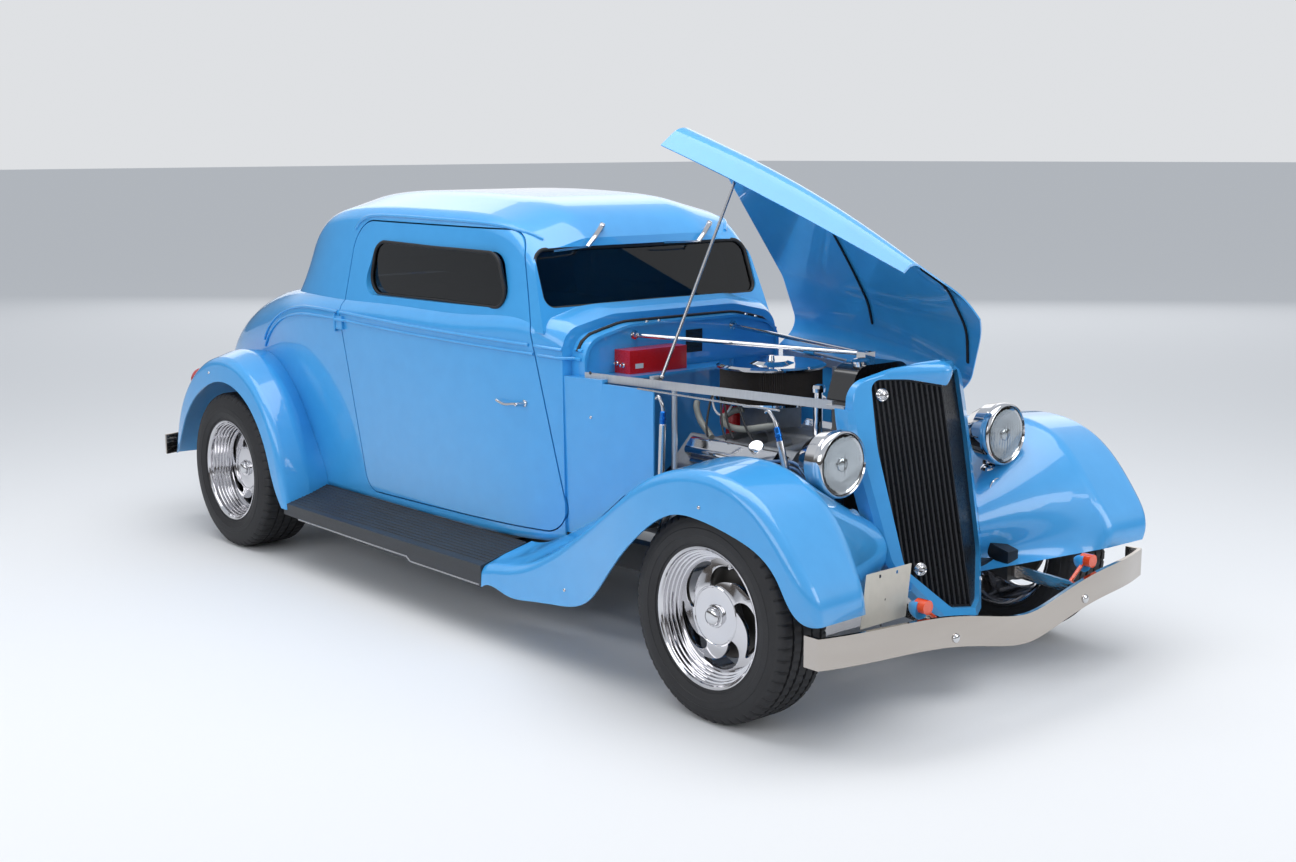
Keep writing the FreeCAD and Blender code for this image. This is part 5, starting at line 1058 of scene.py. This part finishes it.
# stitched hide round the wheel's rim: black, a low gloss from handling over a 1.4 mm grain
hide = surface("wheel_grip", "#17181a", "#222326", 1.4, 0.4, 0.4, (0.38, 0.5))
dress(["dashboard"], trim)
dress(["floor"], carpet)
dress(["steering_wheel"], hide)

# wool tweed: matt grey with light flecks, over a plain weave drawn coarser than real yarn so that it shows
YARN, FLECK, YARN_DEEP = 1.65, 3.85, 0.8  # millimetres from yarn to yarn, across a fleck, and deep
WAVE_TURN = 2 * math.pi / 20  # a wave texture repeats after this much of its own unit
cloth = bpy.data.materials.new("seat_tweed")
tree = new_tree(cloth)
out = tree.nodes.new("ShaderNodeOutputMaterial")
where = add_node(tree, "ShaderNodeTexCoord")
warp, weft = [add_node(tree, "ShaderNodeTexWave", {"Vector": where.outputs["Object"]}, Distortion=1.0,
                       Scale=WAVE_TURN * 1000 / YARN, bands_direction=way) for way in ("Y", "Z")]
weave = add_node(tree, "ShaderNodeMath", {0: warp.outputs["Fac"], 1: weft.outputs["Fac"]}, operation="MULTIPLY")
fleck = add_node(tree, "ShaderNodeTexNoise", {"Vector": where.outputs["Object"]}, Scale=1000 / FLECK, Detail=4.0)
shade = add_node(tree, "ShaderNodeMix", {"Factor": fleck.outputs["Fac"]}, data_type="RGBA")
shade.inputs[6].default_value = linear("#8f8c86")
shade.inputs[7].default_value = linear("#625f5a")
rise = add_node(tree, "ShaderNodeBump", {"Height": weave.outputs["Value"]}, Strength=0.5,
                Distance=YARN_DEEP / 1000)
finish = add_node(tree, "ShaderNodeBsdfPrincipled", {"Base Color": shade.outputs[2],
                  "Normal": rise.outputs["Normal"]}, Roughness=0.9, Sheen_Weight=0.35)
tree.links.new(finish.outputs["BSDF"], out.inputs["Surface"])


def foam_block(name, size):
    """A block with its corners pinched in and its sides thinned towards their edges."""
    mesh = bpy.data.meshes.new(name)
    bm = bmesh.new()
    bmesh.ops.create_cube(bm, size=1.0)
    bmesh.ops.subdivide_edges(bm, edges=bm.edges, cuts=5, use_grid_fill=True)
    for v in bm.verts:
        u = Vector(v.co) * 2
        pinch = 1.0 - 0.10 * (abs(u.x) ** 4) * (abs(u.y) ** 4)
        thin = 1.0 - 0.34 * max(abs(u.x), abs(u.y)) ** 6
        v.co = Vector((v.co.x * size[0] * pinch, v.co.y * size[1] * pinch, v.co.z * size[2] * thin))
    bm.to_mesh(mesh)
    bm.free()
    return mesh


def inflate(pad):
    """The cover blown up by the cloth solver, with gravity off, and kept to what the foam could fill."""
    rest = [v.co.copy() for v in pad.data.vertices]
    sim = pad.modifiers.new("cloth", "CLOTH")
    sim.settings.use_pressure = True
    sim.settings.uniform_pressure_force = 4.0
    sim.settings.quality = 4
    sim.settings.effector_weights.gravity = 0.0
    sim.settings.tension_stiffness = 12
    sim.settings.compression_stiffness = 12
    sim.point_cache.frame_start = 1
    sim.point_cache.frame_end = SETTLE
    for step in range(1, SETTLE + 1):
        bpy.context.scene.frame_set(step)
        bpy.context.view_layer.update()
    apply_modifiers(pad)
    bpy.context.scene.frame_set(1)
    for v, home in zip(pad.data.vertices, rest):
        shift = v.co - home
        if shift.length > STAND_PROUD:
            v.co = home + shift.normalized() * STAND_PROUD


def cushion(name, centre, size, lean):
    """A crowned pad in its cover, sewn into channels and leant back by an angle."""
    pad = bpy.data.objects.new(name, foam_block(name, size))
    bpy.context.scene.collection.objects.link(pad)
    grid = pad.modifiers.new("grid", "REMESH")
    grid.mode = "VOXEL"
    grid.voxel_size = VOXEL
    apply_modifiers(pad)
    inflate(pad)
    fine = pad.modifiers.new("fine", "SUBSURF")
    fine.levels = 1
    apply_modifiers(pad)
    for v in pad.data.vertices:
        edge = 1.0 - min(1.0, abs(v.co.x) / (size[0] * 0.5)) ** 8
        groove = math.exp(-((((v.co.y / CHANNEL) % 1.0) - 0.5) * CHANNEL / STITCH) ** 2)
        if v.co.z > 0:
            v.co.z -= STITCH_DEEP * groove * edge
    pad.data.transform(Matrix.Translation(centre) @ Matrix.Rotation(math.radians(lean), 4, "Y"))
    pad.data.polygons.foreach_set("use_smooth", [True] * len(pad.data.polygons))
    pad.data.materials.clear()
    pad.data.materials.append(cloth)
    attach(pad, "chassis")
    return pad


low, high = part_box("seat")
# the middle of each pad from the seat's rear lower edge, its size, and its lean in degrees
for name, forward, up, size, lean in (("seat_base", 0.335, 0.130, (0.46, 0.86, 0.14), -6),
                                      ("seat_back", 0.135, 0.350, (0.40, 0.86, 0.13), -106)):
    pad = cushion(name, Vector((low.x + forward, 0, low.z + up)), size, lean)
    if name == "seat_base":
        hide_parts("seat")

# ---- studio
# A plain pale floor and an even white surround, with soft boxes above, before, beside and behind.
# The floor and the lights are no part of the object.

FLOOR_SIZE = 300
low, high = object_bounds()
bpy.ops.mesh.primitive_plane_add(size=FLOOR_SIZE)
floor_plane = bpy.context.object
floor_plane.name = "studio_floor"
floor_plane.location.z = low[2]
# seamless backdrop paper: matt and pale, so only the shadow marks it
floor_material = bpy.data.materials.new("studio_floor")
tree = new_tree(floor_material)
out = tree.nodes.new("ShaderNodeOutputMaterial")
paper = add_node(tree, "ShaderNodeBsdfDiffuse", Color=linear("#dfe0e2"))
tree.links.new(paper.outputs["BSDF"], out.inputs["Surface"])
floor_plane.data.materials.append(floor_material)

# the surround: a pale backdrop to the camera, an even glow on the object, and in what is polished
# a dull floor, a bright band at the horizon and a softer sky
world = bpy.data.worlds.new("studio")
bpy.context.scene.world = world
tree = new_tree(world)
out = tree.nodes.new("ShaderNodeOutputWorld")
rays = add_node(tree, "ShaderNodeLightPath")
seen = add_node(tree, "ShaderNodeBackground", Color=linear("#e4e6e9"), Strength=0.95)
glow = add_node(tree, "ShaderNodeBackground", Color=linear("#dfe4ea"), Strength=0.80)
sky = add_node(tree, "ShaderNodeTexCoord")
height = add_node(tree, "ShaderNodeSeparateXYZ", {"Vector": sky.outputs["Generated"]})
bands = add_node(tree, "ShaderNodeValToRGB", {"Fac": height.outputs["Z"]})
stops = bands.color_ramp.elements
stops[0].position, stops[0].color = 0.02, linear("#5f5a56")
stops[1].position, stops[1].color = 0.60, linear("#d8dee6")
for position, code in ((0.16, "#7d7c7c"), (0.28, "#eef1f5")):
    stops.new(position).color = linear(code)
mirrored = add_node(tree, "ShaderNodeBackground", {"Color": bands.outputs["Color"]}, Strength=0.85)
shiny = add_node(tree, "ShaderNodeMixShader", {"Fac": rays.outputs["Is Glossy Ray"], 1: glow.outputs["Background"],
                                               2: mirrored.outputs["Background"]})
pick = add_node(tree, "ShaderNodeMixShader", {"Fac": rays.outputs["Is Camera Ray"], 1: shiny.outputs["Shader"],
                                              2: seen.outputs["Background"]})
tree.links.new(pick.outputs["Shader"], out.inputs["Surface"])


def soft_lamp(name, place, aim, size, power):
    """A soft box that lights the object and isn't seen itself."""
    data = bpy.data.lights.new(name, "AREA")
    data.shape = "RECTANGLE"
    data.size, data.size_y = size
    data.energy = power
    lamp = bpy.data.objects.new(name, data)
    bpy.context.scene.collection.objects.link(lamp)
    lamp.location = place
    lamp.visible_camera = False
    lamp.rotation_euler = (Vector(aim) - Vector(place)).to_track_quat("-Z", "Y").to_euler()


soft_lamp("over_lamp", (0.6, -0.6, 4.6), (0.0, 0.0, 0.5), (6.0, 3.4), 170)
soft_lamp("front_lamp", (6.0, 1.5, 2.6), (0.5, 0.0, 0.5), (3.0, 2.0), 60)
soft_lamp("side_lamp", (1.0, -6.0, 2.8), (0.0, 0.0, 0.6), (6.0, 2.0), 80)
soft_lamp("back_lamp", (-7.5, 7.5, 4.2), (-0.5, 0.0, 1.2), (13.0, 6.0), 210)

LENS = 46.0
CAMERA_PLACE = (4.800, -3.775, 1.595)
YAW, PITCH, ROLL = math.radians(49.16), math.radians(9.67), math.radians(-0.29)
ahead = Vector((-math.sin(YAW) * math.cos(PITCH), math.cos(YAW) * math.cos(PITCH), -math.sin(PITCH)))
beside = Vector((math.cos(YAW), math.sin(YAW), 0))
above = beside.cross(ahead)
beside, above = (beside * math.cos(ROLL) + above * math.sin(ROLL), above * math.cos(ROLL) - beside * math.sin(ROLL))
camera_data = bpy.data.cameras.new("camera")
camera_data.lens = LENS
camera = bpy.data.objects.new("camera", camera_data)
bpy.context.scene.collection.objects.link(camera)
camera.matrix_world = Matrix.Translation(CAMERA_PLACE) @ Matrix((beside, above, -ahead)).transposed().to_4x4()
bpy.context.scene.camera = camera
bpy.context.scene.view_settings.view_transform = "Standard"
